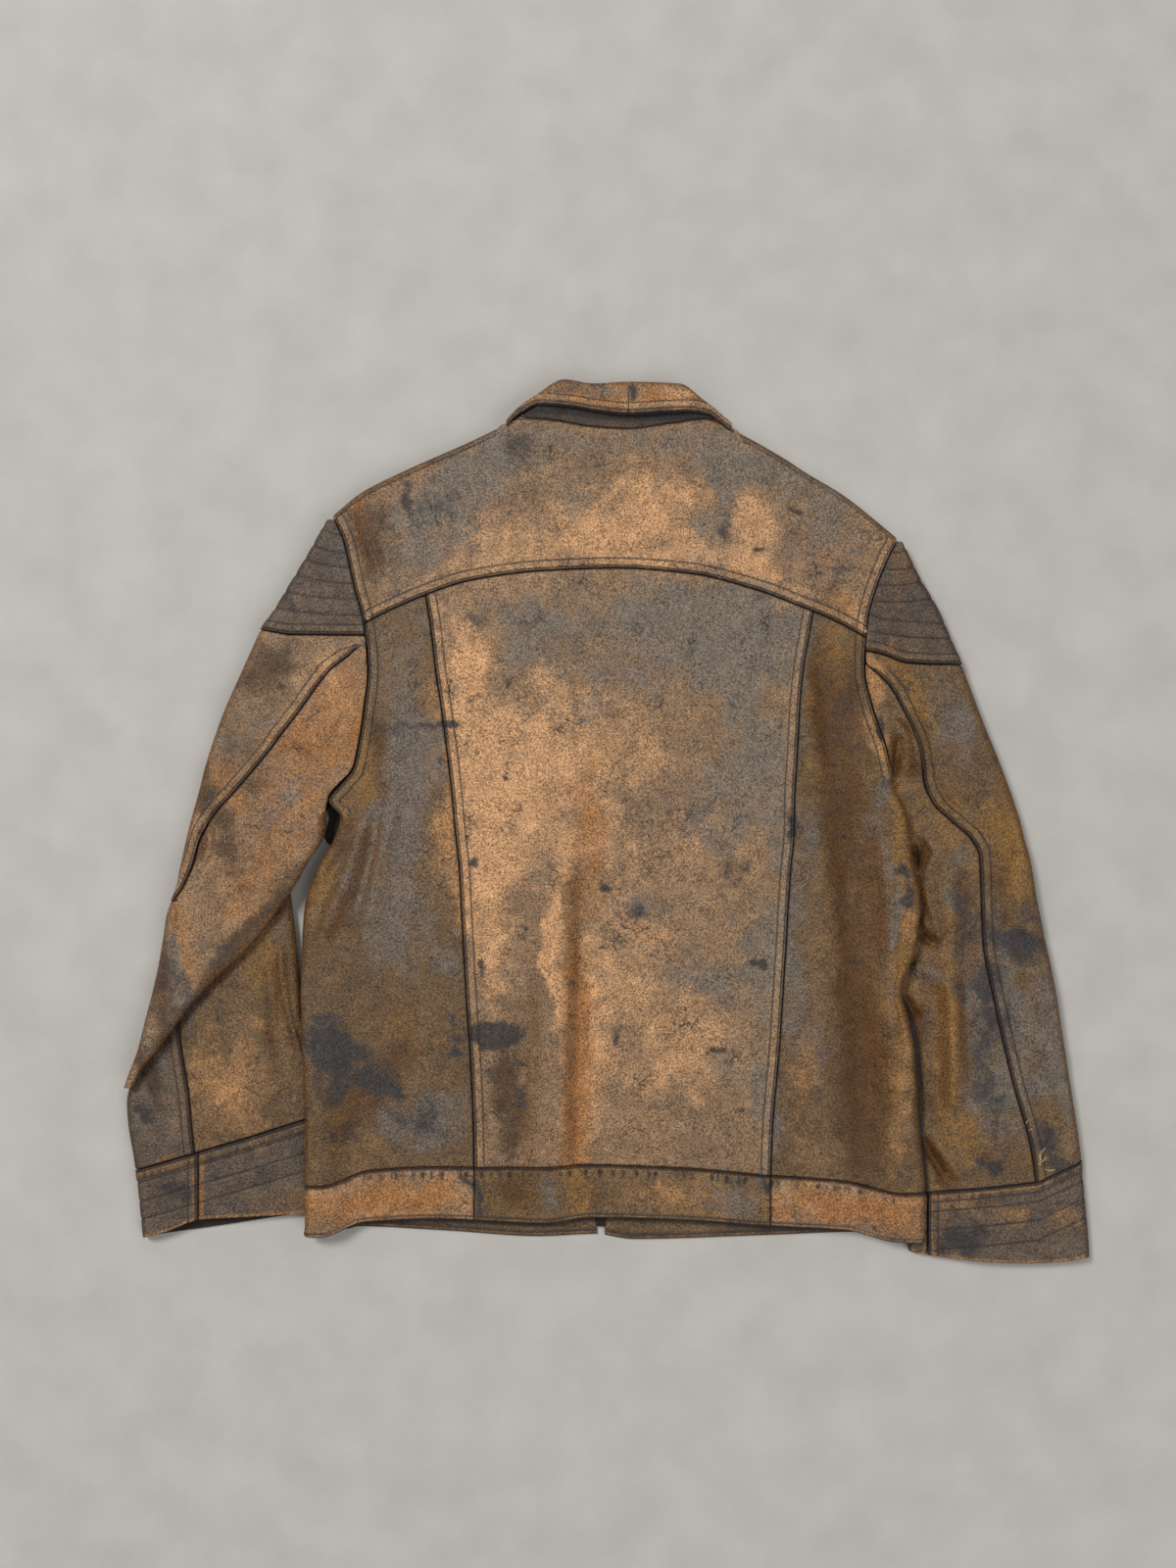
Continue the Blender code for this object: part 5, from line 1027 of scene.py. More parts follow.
def makeRightSleeve():
    corner = 130.0
    low = straightLineOf(cuffRightTop, front=cuffRightTopFront)

    def frontSeam(y):
        return mix(sleeveRightInner(y), sleeveRightOuter(y), frontShare(y, corner))

    topColumns = wrapColumns(course("plain", "over", 90, step), underSteps=8)
    underColumns = wrapColumns(course("plain", "under", 110, 1.7), underSteps=6)

    def topPiece(y):
        edge = sleeveRightOuter(y)
        seam = np.maximum(sleeveRightSeam(y), np.where(y > corner + 1, bodyRight(y), 0.0))
        reach = np.minimum(jacket["rollReach"], 0.3 * np.abs(edge - seam))
        return wrapSection(y, 1, edge, reach, frontSeam(y) + gap, seam + gap, onFloor, sleeveRightOver,
                           topColumns, 1.0, np.minimum(lean(sleeveRightSeam, y), 1.6))

    def underPiece(y):
        edge = sleeveRightInner(y)
        joined = ease((y - jacket["rightUnderarm"] + 10) / 10.0)
        reach = mix(8.0, gap, joined)
        return wrapSection(y, -1, edge, reach, frontSeam(y) - gap, sleeveRightSeam(y) - gap, onFloor,
                           sleeveRightOver, underColumns, 1.0, np.minimum(lean(sleeveRightSeam, y), 1.6))

    x, y, z = layGrid(topPiece, low, lineOf(capSeamRight), course("under", "under", 450, step))
    above = np.broadcast_to(topColumns["kind"][None, :] == 2, x.shape)
    seams = [
        ("over", np.where(above & (y < corner + 3), (x - sleeveRightSeam(y)) / lean(sleeveRightSeam, y), 99.0)),
        ("under", np.where(above & (y > corner), x - bodyRight(y), 99.0)),
        ("under", lineOf(capSeamRight)(x, z) - y), ("under", y - low(x, z)),
    ]
    sew("sleeve_right_top", x, y, z, seams, jacket["wall"], flip=True)
    top = cornerLine(corner, float(sleeveRightSeam(np.array(corner))), 1)
    x, y, z = layGrid(underPiece, low, top, course("under", "plain", 440, 1.9))
    above = np.broadcast_to(underColumns["kind"][None, :] == 2, x.shape)
    armhole = x - bodyRight(y) + 40 * (1 - ease((y - jacket["rightUnderarm"] + 6) / 8))
    seams = [
        ("under", np.where(above, (sleeveRightSeam(y) - x) / lean(sleeveRightSeam, y), 99.0)),
        ("under", np.where(above, armhole, 99.0)), ("under", y - low(x, z)),
    ]
    keep = (underColumns["kind"][None, :] != 1) | (y < jacket["rightUnderarm"] + 1)
    # painted shade in the sleeve beside the body's edge, where it tucks under
    reach = 7.5 - 3.0 * ease((-235.0 - y) / 60.0)
    deep = (1 - ease((x - bodyRight(y) - 2.5) / reach)) * ease((-125.0 - y) / 40.0) * 0.95
    sew("sleeve_right_under", x, y, z, seams, jacket["wall"], keep=keep, linesAndPaintedShade=deep)


def makeLeftSleeve():
    corner, seamAtOuter = 150.0, -67.0

    def flapReturn(y):
        inner, outer = sleeveLeftInner(y), sleeveLeftOuter(y)
        full = mix(inner, outer, frontShare(y, corner))
        tucked = inner - np.minimum(18.0, 0.4 * (inner - outer))
        return mix(full, tucked, ease((4.0 - y) / 46.0))

    topColumns = wrapColumns(course("plain", "over", 80, step), underSteps=6)

    def topPiece(y):
        edge = sleeveLeftOuter(y)
        seam = np.where(y > corner + 1, bodyLeft(y), sleeveLeftSeam(y))
        reach = np.minimum(jacket["rollReach"], 0.3 * np.abs(seam - edge))
        underTo = flapReturn(y) - gap - 8.0 * ease((4.0 - y) / 46.0)
        return wrapSection(y, -1, edge, reach, underTo, seam - gap, onFloor, sleeveLeftOver,
                           topColumns, 1.0, np.minimum(lean(sleeveLeftSeam, y), 1.6))

    x, y, z = layGrid(topPiece, level(seamAtOuter), lineOf(capSeamLeft), course("plain", "under", 230, step))
    above = np.broadcast_to(topColumns["kind"][None, :] == 2, x.shape)
    seams = [
        ("over", np.where(above & (y < corner + 3), (sleeveLeftSeam(y) - x) / lean(sleeveLeftSeam, y), 99.0)),
        ("under", np.where(above & (y > corner), bodyLeft(y) - x, 99.0)),
        ("under", lineOf(capSeamLeft)(x, z) - y),
    ]
    sew("sleeve_left_top", x, y, z, seams, jacket["wall"])

    flat = course("under", "plain", 110, step)
    rollSteps, underSteps = 9, 5
    kinds = np.array([0] + [1] * rollSteps + [2] * len(flat["near"]) + [3] * rollSteps + [4] * underSteps)
    shares = np.concatenate([
        [0.0], (np.arange(rollSteps) + 0.5) / (rollSteps + 0.5), np.zeros(len(flat["near"])),
        (np.arange(rollSteps) + 1) / rollSteps, (np.arange(underSteps) + 1) / underSteps,
    ])

    def underPiece(y):
        outer, inner = sleeveLeftOuter(y), sleeveLeftInner(y)
        startReach = np.minimum(8.0, 0.3 * np.abs(inner - outer))
        joined = ease((y - jacket["leftUnderarm"] + 10) / 10.0)
        reachIn = mix(startReach, gap, joined)
        below = ease((seamAtOuter - y) / 6.0)
        edge = mix(sleeveLeftSeam(y) + gap - startReach, outer, below)
        edge = np.where(y < seamAtOuter + 1, np.maximum(edge, outer), edge)
        turn, innerTurn = edge + startReach, inner - reachIn
        kind, share = kinds[None, :], shares[None, :]
        low, high = flapUnder(turn, y), sleeveLeftOver(turn, y)
        angle = -math.pi / 2 + math.pi * share
        xRoll, zRoll = turn - startReach * np.cos(angle), mix(low, high, 0.5 + 0.5 * np.sin(angle))
        lowIn, highIn = flapUnder(innerTurn, y), sleeveLeftOver(innerTurn, y)
        back = math.pi / 2 - math.pi * share
        xIn, zIn = innerTurn + reachIn * np.cos(back), mix(lowIn, highIn, 0.5 + 0.5 * np.sin(back))
        xUnder = mix(innerTurn, flapReturn(y) + gap, share)
        first, last = int((kinds == 2).argmax()), int((kinds == 3).argmax())
        pick = (lambda v: v[:, first:last] if v.shape[1] > 1 else v)
        seamLean = np.minimum(lean(sleeveLeftSeam, y), 1.6)
        xTop = place(pick(turn), pick(innerTurn), flat, pick(mix(seamLean, 1.0, below)), 1.0)
        shape = (y.shape[0], len(kinds))
        spread = (lambda v: np.broadcast_to(v, shape))
        x = np.select([spread(kind == 0), spread(kind == 1), spread(kind == 3)],
                      [spread(turn), spread(xRoll), spread(xIn)], spread(xUnder)).astype(float)
        z = np.select([spread(kind == 0), spread(kind == 1), spread(kind == 3)],
                      [spread(low), spread(zRoll), spread(zIn)], spread(flapUnder(xUnder, y))).astype(float)
        x[:, first:last] = xTop
        z[:, first:last] = sleeveLeftOver(xTop, pick(y))
        return x, z

    top = cornerLine(corner, float(sleeveLeftSeam(np.array(corner))), -1)
    x, y, z = layGrid(underPiece, level(-227.0), top, course("plain", "plain", 375, step))
    above = np.broadcast_to(kinds[None, :] == 2, x.shape)
    armhole = bodyLeft(y) - x + 40 * (1 - ease((y - jacket["leftUnderarm"] + 6) / 8))
    seams = [
        ("under", np.where(above & (y > seamAtOuter), (x - sleeveLeftSeam(y)) / lean(sleeveLeftSeam, y), 99.0)),
        ("under", np.where(above, armhole, 99.0)),
    ]
    keep = ~((kinds[None, :] <= 1) & (y > seamAtOuter + 1))
    keep = keep & ~((kinds[None, :] == 3) & (y > jacket["leftUnderarm"] + 1) & (shares[None, :] < 0.99))
    sew("sleeve_left_under", x, y, z, seams, jacket["wall"], keep=keep)


def makeLeftForearm():
    topEnd = -172.0

    def frontSeam(y):
        return mix(mix(forearmInner(y), forearmOuter(y), 0.36), forearmSeam(y), ease((y + 204.0) / 36.0))

    underColumns = wrapColumns(course("plain", "under", 110, step), underSteps=5)
    topColumns = wrapColumns(course("plain", "over", 50, step), underSteps=5)

    def underPiece(y):
        edge = forearmInner(y)
        reach = np.minimum(8.0, 0.3 * np.abs(edge - forearmSeam(y)))
        return wrapSection(y, 1, edge, reach, frontSeam(y) + gap, forearmSeam(y) + gap, onFloor,
                           forearmOver, underColumns)

    def topPiece(y):
        hidden = ease((y - topEnd) / 6.0)
        edge = mix(forearmOuter(y), sleeveLeftOuter(y) + 12.0, hidden)
        reach = mix(np.minimum(8.0, 0.3 * np.abs(forearmSeam(y) - edge)), 1.0, hidden)
        return wrapSection(y, -1, edge, reach, frontSeam(y) - gap, forearmSeam(y) - gap, onFloor,
                           forearmOver, topColumns)

    low = straightLineOf(cuffLeftTop, offset=2 * gap)
    rows = course("under", "plain", 235, step)
    x, y, z = layGrid(underPiece, low, level(-50.0), rows)
    above = np.broadcast_to(underColumns["kind"][None, :] == 2, x.shape)
    seams = [("under", np.where(above, x - forearmSeam(y), 99.0)), ("under", y - low(x, z))]
    sew("forearm_left_under", x, y, z, seams, jacket["wall"], flip=True)
    x, y, z = layGrid(topPiece, low, level(-76.0), rows)
    above = np.broadcast_to(topColumns["kind"][None, :] == 2, x.shape)
    seams = [("over", np.where(above, forearmSeam(y) - x, 99.0)), ("under", y - low(x, z))]
    keep = (topColumns["kind"][None, :] == 0) | (y < topEnd + 1)
    sew("forearm_left_top", x, y, z, seams, jacket["wall"], keep=keep)


cuffLines = {"cuff_left": [11, 27, 42], "cuff_right": [17, 33, 50]}  # stitched rows, below the top seam


def makeCuffs():
    leftLow, leftTop = lineOf(cuffLeftLow, front=cuffLeftLowFront), straightLineOf(cuffLeftTop)
    rightLow, rightTop = lineOf(cuffRightLow), straightLineOf(cuffRightTop, front=cuffRightTopFront)
    leftSeam, rightSeam = -353.5, 276.0
    for name, side, edge, reach, hidden, seam, over, low, high, width, kind in (
        ("cuff_left_outer", -1, forearmOuter, 8.0, -308.0, leftSeam, cuffLeftOver,
         leftLow, leftTop, 55, "over"),
        ("cuff_left_inner", 1, forearmInner, 8.0, -308.0, leftSeam, cuffLeftOver,
         leftLow, leftTop, 100, "under"),
        ("cuff_right_inner", -1, lambda y: follow(sleeveRight, y, "inner"), 5.0, 318.0, rightSeam,
         cuffRightOver, rightLow, rightTop, 20, "under"),
        ("cuff_right_outer", 1, sleeveRightOuter, 8.0, 318.0, rightSeam, cuffRightOver,
         rightLow, rightTop, 135, "over"),
    ):
        columns = wrapColumns(course("plain", kind, width, step), underSteps=6)

        def section(y, side=side, edge=edge, reach=reach, hidden=hidden, seam=seam, over=over, columns=columns):
            return wrapSection(y, side, edge(y), reach, hidden + side * gap + 0 * y, seam + side * gap + 0 * y,
                               onFloor, over, columns)

        x, y, z = layGrid(section, low, high, course("plain", "band", 80, 1.3))
        above = np.broadcast_to(columns["kind"][None, :] == 2, x.shape)
        slope = 0.28 if "left" in name else 0.11
        down = (high(x, z) - y) / math.sqrt(1 + slope**2)
        rise, line = np.zeros(x.shape), np.zeros(x.shape)
        for row in cuffLines[name[:name.rindex("_")]]:
            rise = rise - 0.55 * hump(down - row, 1.3)
            line = np.maximum(line, hump(down - row, 0.6))
        worn = 1.3 * hump(down - 3.6, 1.2) * ("outer" in name)
        worn = worn + 1.1 * hump(y - low(x, z) - 1.6, 1.4) + 1.1 * hump(side * (x - seam) - 3.0, 1.2) * above
        pucker = puckers(x, down, 21) * (name != "cuff_right_inner") * 0.7
        seams = [("band", down), (kind, np.where(above, side * (x - seam), 99.0))]
        sew(name, x, y, z, seams, jacket["bandWall"], flip=side == 1, extraRise=rise - pucker,
            linesAndPaintedShade=np.maximum(line, pucker), rubbed=worn)


def makeCollar():
    collar = {"fold": 2.4, "height": 5.0, "fall": 36.0, "stand": 26.0, "rollSteps": 8, "tuck": 8.0}
    xs = np.linspace(-78.0, 95.5, 84)[None, :]

    def stand(y):
        return np.broadcast_to(xs, (y.shape[0], xs.shape[1])), 15.6 + 1.2 * ease((y - 342.0) / 20.0) + 0 * xs

    low, high = lineOf(shoulder), lineOf(collarTop, offset=-9.5)
    x, y, z = layGrid(stand, low, high, course("under", "plain", 26, 1.6))
    # painted shadow of the collar's fall on the stand, darkest just below its edge
    inShade = 0.5 + 0.5 * ease((y - follow(collarEdge, x, "y") + 9.0 - 2.0 * hump(x - 10.0, 40.0)) / 3.5)
    sew("collar_stand", np.array(x), y, z, [("under", y - low(x, z))], jacket["wall"],
        linesAndPaintedShade=np.maximum(inShade, 0.95 * hump(x - 9.0, 0.8)))

    def fallHeight(x):
        return 21.4 - 3.0 * ease((np.abs(x - 10.0) - 45.0) / 50.0)

    for name, start, end in (
        ("collar_fall_left", -87.5, jacket["collarBackX"] - gap),
        ("collar_fall_right", jacket["collarBackX"] + gap, 105.5),
    ):
        seamAtEnd = name.endswith("left")
        columns = course("plain" if seamAtEnd else "over", "under" if seamAtEnd else "plain",
                         abs(end - start), 2.0)
        x = place(np.array([[start]]), np.array([[end]]), columns)
        tips = np.maximum(-60.0 - x, x - 86.0)
        edge = follow(collarEdge, x, "y") - 4.0 * ease(tips / 16.0)
        outline = follow(collarTop, x, "y")
        width = outline - edge
        reach = np.minimum(4.5, 0.3 * width)
        turn = outline - reach
        rowPlaces = course("collar", "plain", 20, 1.5)
        flatPart = place(edge, turn, rowPlaces, axis=0)
        bottom = mix(12.6, 6.5, ease((np.abs(x - 10.0) - 45.0) / 35.0))
        high = fallHeight(x)
        ys, zs = [flatPart], [np.broadcast_to(high, flatPart.shape)]
        for j in range(1, collar["rollSteps"] + 1):
            angle = math.pi / 2 - math.pi * j / collar["rollSteps"]
            ys.append(turn + reach * math.cos(angle))
            zs.append(mix(bottom, high, 0.5 + 0.5 * math.sin(angle)))
        ys.append(turn - np.minimum(collar["tuck"], 0.6 * width))
        zs.append(bottom)
        y, z = np.concatenate(ys), np.concatenate(zs)
        x = np.broadcast_to(x, y.shape)
        onTop = z > fallHeight(x) - 0.5
        seamAway = np.abs(x - jacket["collarBackX"])
        seams = [
            ("collar", np.where(onTop, y - edge, 99.0)),
            ("faint", np.where(onTop, seamAway, 99.0)),
        ]
        sew(name, x, y, z, seams, jacket["wall"])

    for name, side in (("collar_front_left", -1), ("collar_front_right", 1)):
        edgeX = jacket["zipX"] + side * jacket["zipGap"]
        farX = jacket["neckLeft"] + 0.5 if side < 0 else jacket["neckRight"] - 0.5
        nx = np.linspace(min(edgeX, farX), max(edgeX, farX), 40)
        ny = follow(neckFront, nx, "y")
        run, rise = np.gradient(nx), np.gradient(ny)
        size = np.hypot(run, rise)
        inX, inY = -rise / size, run / size
        atZip = 0 if side > 0 else -1
        inX[atZip], inY[atZip] = 0.0, 1.0
        fold = collar["stand"] - collar["fold"]
        offsets = [(-collar["fall"] * (1 - k / 8), 0.0) for k in range(9)] + [(fold * k / 6, 0.0) for k in range(1, 7)]
        for j in range(1, collar["rollSteps"]):
            angle = math.pi * j / collar["rollSteps"] - math.pi / 2
            offsets.append((fold + collar["fold"] * math.cos(angle),
                            collar["height"] * (0.5 + 0.5 * math.sin(angle))))
        offsets += [(fold * (1 - k / 4), collar["height"]) for k in range(0, 4)] + [(0.7, collar["height"])]
        away = np.array([o[0] for o in offsets])[None, :]
        high = np.array([o[1] for o in offsets])[None, :]
        x, y = nx[:, None] + inX[:, None] * away, ny[:, None] + inY[:, None] * away
        z = np.broadcast_to(high, x.shape)
        seams = [("quilt", np.abs(away + collar["fall"] - 7.0) + 0 * x)]
        sew(name, x, y, z, seams, jacket["wall"])


print("cutting the leather")
makeYoke()
makeBackPanels()
makeWaistband()
makeFronts()
makeCaps()
makeRightSleeve()
makeLeftSleeve()
makeLeftForearm()
makeCuffs()
makeCollar()
print("leather pieces", len(leatherPieces), sum(len(p.data.polygons) * 2 for p in leatherPieces.values()),
      "triangles", round(time.time() - started, 1), "s")


# Thread, zip teeth and the other small things are modelled once and copied along their lines.
thread = {"length": 2.6, "thick": 1.0, "pitch": 3.4, "sunk": 0.15}
generator = np.random.default_rng(7)


def deselect():
    bpy.ops.object.select_all(action="DESELECT")


def takeMesh():  # the active object's points and faces, in millimetres
    piece = bpy.context.object
    mesh = piece.data
    co = np.empty(len(mesh.vertices) * 3)
    mesh.vertices.foreach_get("co", co)
    faces = [list(p.vertices) for p in mesh.polygons]
    bpy.data.objects.remove(piece, do_unlink=True)
    return co.reshape(-1, 3), faces


def modelStitch():  # one stitch: a short fat thread, flattened where it enters the leather
    deselect()
    bpy.ops.mesh.primitive_uv_sphere_add(segments=6, ring_count=5, radius=0.5, rotation=(0, math.pi / 2, 0))
    bpy.ops.object.transform_apply(location=False, rotation=True, scale=False)
    bpy.ops.transform.resize(value=(thread["length"], thread["thick"], thread["thick"] * 0.7))
    bpy.ops.object.transform_apply(location=False, rotation=False, scale=True)
    return takeMesh()


stitchShape = modelStitch()
surfaces = {}


def surfaceOf(name):
    if name not in surfaces:
        mesh = leatherPieces[name].data
        points = [v.co.copy() for v in mesh.vertices]
        surfaces[name] = BVHTree.FromPolygons(points, [list(p.vertices) for p in mesh.polygons])
    return surfaces[name]


def alongLine(points, offset, pitch, wobble=0.12):  # evenly spaced places beside a line, with directions
    points = np.array(points, float)
    run = np.gradient(points, axis=0)
    run /= np.linalg.norm(run, axis=1, keepdims=True)
    points = points + offset * np.stack([-run[:, 1], run[:, 0]], axis=1)
    lengths = np.concatenate([[0], np.cumsum(np.linalg.norm(np.diff(points, axis=0), axis=1))])
    count = max(2, int(lengths[-1] / pitch))
    at = (np.arange(count) + 0.5) * lengths[-1] / count + generator.normal(0, wobble, count)
    x, y = (np.interp(at, lengths, points[:, i]) for i in (0, 1))
    dx, dy = (np.interp(at, lengths, run[:, i]) for i in (0, 1))
    return x, y, dx, dy


def putDown(name, places, shape, sunk=0.0, sizes=(1.0, 1.0)):  # copies a shape onto a piece at each place
    surface = surfaceOf(name)
    points, faces = shape
    allPoints, allFaces = [], []
    for x, y, dx, dy in zip(*places):
        start = Vector(((x - jacket["middleX"]) / 1000, (y - jacket["middleY"]) / 1000, 0.08))
        hit, normal, _, _ = surface.ray_cast(start, Vector((0, 0, -1)))
        if hit is None:
            continue
        along = Vector((dx, dy, 0))
        along = (along - normal * along.dot(normal)).normalized()
        side = normal.cross(along)
        frameOf = np.array([along, side, normal])
        size = generator.uniform(*sizes) if sizes[0] != sizes[1] else sizes[0]
        placed = points * size @ frameOf * 0.001 + np.array(hit) - np.array(normal) * sunk * 0.001
        base = sum(len(p) for p in allPoints)
        allPoints.append(placed)
        allFaces.extend([[i + base for i in face] for face in faces])
    return allPoints, allFaces


looseParts = {}


def joinParts(name, parts):  # many copies as one mesh
    points, faces, base = [], [], 0
    for somePoints, someFaces in parts:
        count = sum(len(p) for p in somePoints)
        points.extend(somePoints)
        faces.extend([[i + base for i in face] for face in someFaces])
        base += count
    mesh = bpy.data.meshes.new(name)
    mesh.from_pydata(np.concatenate(points).tolist(), [], faces)
    mesh.update()
    piece = bpy.data.objects.new(name, mesh)
    bpy.context.scene.collection.objects.link(piece)
    mesh.shade_smooth()
    looseParts[name] = piece
    return piece


def upright(curve, low, high, every=4.0):  # points of a line given as x over y
    ys = np.arange(low, high, every)
    return np.stack([np.broadcast_to(curve(ys), ys.shape), ys], axis=1)


def crosswise(curve, low, high, every=4.0):
    xs = np.arange(low, high, every)
    return np.stack([xs, np.broadcast_to(curve(xs), xs.shape)], axis=1)


def columnOf(rows, column="y"):
    return lambda at: follow(rows, at, column)


def sewRows():
    rows = []  # piece, line, offset to the left of the way it runs

    def both(name, line, side):
        rows.append((name, line, side * lapped["rowOne"]))
        rows.append((name, line, side * lapped["rowTwo"]))

    both("yoke", crosswise(columnOf(yokeSeam), -208, 225), 1)
    both("yoke", upright(bodyLeft, 184, 262), -1)
    both("yoke", upright(bodyRight, 170, 240), 1)
    both("back_side_left", upright(bodyLeft, 14, 166), -1)
    both("back_side_right", upright(bodyRight, 46, 150), 1)
    both("back_centre", upright(seamLeft, -292, 194), -1)
    both("back_centre", upright(seamRight, -298, 180), 1)
    rows.append(("band_left", crosswise(columnOf(bandSeam), -259, -118), -2.6))
    rows.append(("band_back", crosswise(columnOf(bandSeam), -115, 138), -2.6))
    rows.append(("band_right", crosswise(columnOf(bandSeam), 142, 268), -2.6))
    both("band_back", upright(seamLeft, -338, -304), -1)
    both("band_back", upright(seamRight, -344, -310), 1)
    both("cap_left", crosswise(columnOf(capSeamLeft), -298, -214), 1)
    both("cap_right", crosswise(columnOf(capSeamRight), 223, 302), 1)
    for k in range(len(quiltRows["cap_left"])):
        ySpan = quiltRows["cap_left"][k]
        xs = np.arange(float(sleeveLeftOuter(np.array(ySpan[1]))) + 4,
                       float(bodyLeft(np.array(ySpan[0]))) - 2, 3.0)
        ys = quiltLineY("cap_left", k, xs, np.full(xs.shape, ySpan[0]))
        rows.append(("cap_left", np.stack([xs, ys], axis=1), 0.0))
        ySpan = quiltRows["cap_right"][k]
        xs = np.arange(float(bodyRight(np.array(ySpan[0]))) + 2,
                       float(sleeveRightOuter(np.array(ySpan[1]))) - 4, 3.0)
        ys = quiltLineY("cap_right", k, xs, np.full(xs.shape, ySpan[0]))
        rows.append(("cap_right", np.stack([xs, ys], axis=1), 0.0))
    both("sleeve_right_top", upright(sleeveRightSeam, -306, 124), -1)
    both("sleeve_left_top", upright(sleeveLeftSeam, -60, 144), 1)
    both("forearm_left_top", upright(forearmSeam, -276, -178), 1)

    def leftTop(x):
        return np.interp(x, cuffLeftTop["x"], cuffLeftTop["y"])

    def rightTop(x):
        return np.interp(x, cuffRightTop["x"], cuffRightTop["y"])

    both("cuff_left_outer", crosswise(leftTop, -404, -355), -1)
    both("cuff_left_inner", crosswise(leftTop, -351, -262), -1)
    both("cuff_right_outer", crosswise(rightTop, 279, 404), -1)
    both("cuff_right_inner", crosswise(rightTop, 264, 275), -1)
    for down in cuffLines["cuff_left"]:
        rows.append(("cuff_left_outer", crosswise(leftTop, -404, -355), -down * 1.0))
        rows.append(("cuff_left_inner", crosswise(leftTop, -351, -262), -down * 1.0))
    for down in cuffLines["cuff_right"]:
        rows.append(("cuff_right_outer", crosswise(rightTop, 279, 406), -down * 1.0))
    both("cuff_left_outer", upright(lambda y: np.full(np.shape(y), -353.5), -345, -290), 1)
    both("cuff_right_outer", upright(lambda y: np.full(np.shape(y), 276.0), -370, -325), -1)
    for offset in (9.3,):
        rows.append(("collar_fall_left", crosswise(columnOf(collarEdge), -72, 14), offset))
        rows.append(("collar_fall_right", crosswise(columnOf(collarEdge), 20, 94), offset))
    return rows


print("sewing the seams")
byPiece = {}
for name, line, offset in sewRows():
    put = putDown(name, alongLine(line, offset, thread["pitch"]), stitchShape, thread["sunk"], (0.85, 1.1))
    if put[0]:
        byPiece.setdefault(name, []).append(put)
for name, parts in byPiece.items():
    joinParts("stitches_" + name, parts)
# Loose ends where the sleeve's seam has frayed by the cuff, and a bar tack at each end of the yoke seam.
frayed = {"sleeve_right_top": [
    (357, -263, 1, 5, 4), (358, -269, 2, 4, 4), (370, -284, 1, -5, 5), (372, -291, -2, 5, 6),
    (368, -294, 5, 2, 5), (374, -297, 4, -3, 5), (366, -287, -4, 2, 3),
]}
tacks = {"yoke": [(-207, 175), (220, 164)]}
pale = []
for name, ends in frayed.items():
    for x, y, dx, dy, count in ends:
        bend = generator.uniform(-0.25, 0.25)
        turn = math.atan2(dy, dx) + bend * np.arange(count)
        xs, ys = x + np.cumsum(np.cos(turn)) * 2.0, y + np.cumsum(np.sin(turn)) * 2.0
        pale.append(putDown(name, (xs, ys, np.cos(turn), np.sin(turn)), stitchShape, -0.15, (0.75, 0.9)))
for name, ends in tacks.items():
    for x, y in ends:
        across = np.arange(3) * 0.9
        places = (x + across, y + 0 * across, 0 * across, 1 + 0 * across)
        pale.append(putDown(name, places, stitchShape, 0.0, (1.0, 1.2)))
joinParts("frayed_ends", [part for part in pale if part[0]])
print("stitches", sum(len(part[0]) for parts in byPiece.values() for part in parts),
      round(time.time() - started, 1), "s")

zipParts = {
    "tapeWide": 28.0, "toothWide": 3.2, "toothPitch": 2.6, "tapeThick": 0.7,
    "sliderLong": 11.0, "sliderWide": 8.0,
}


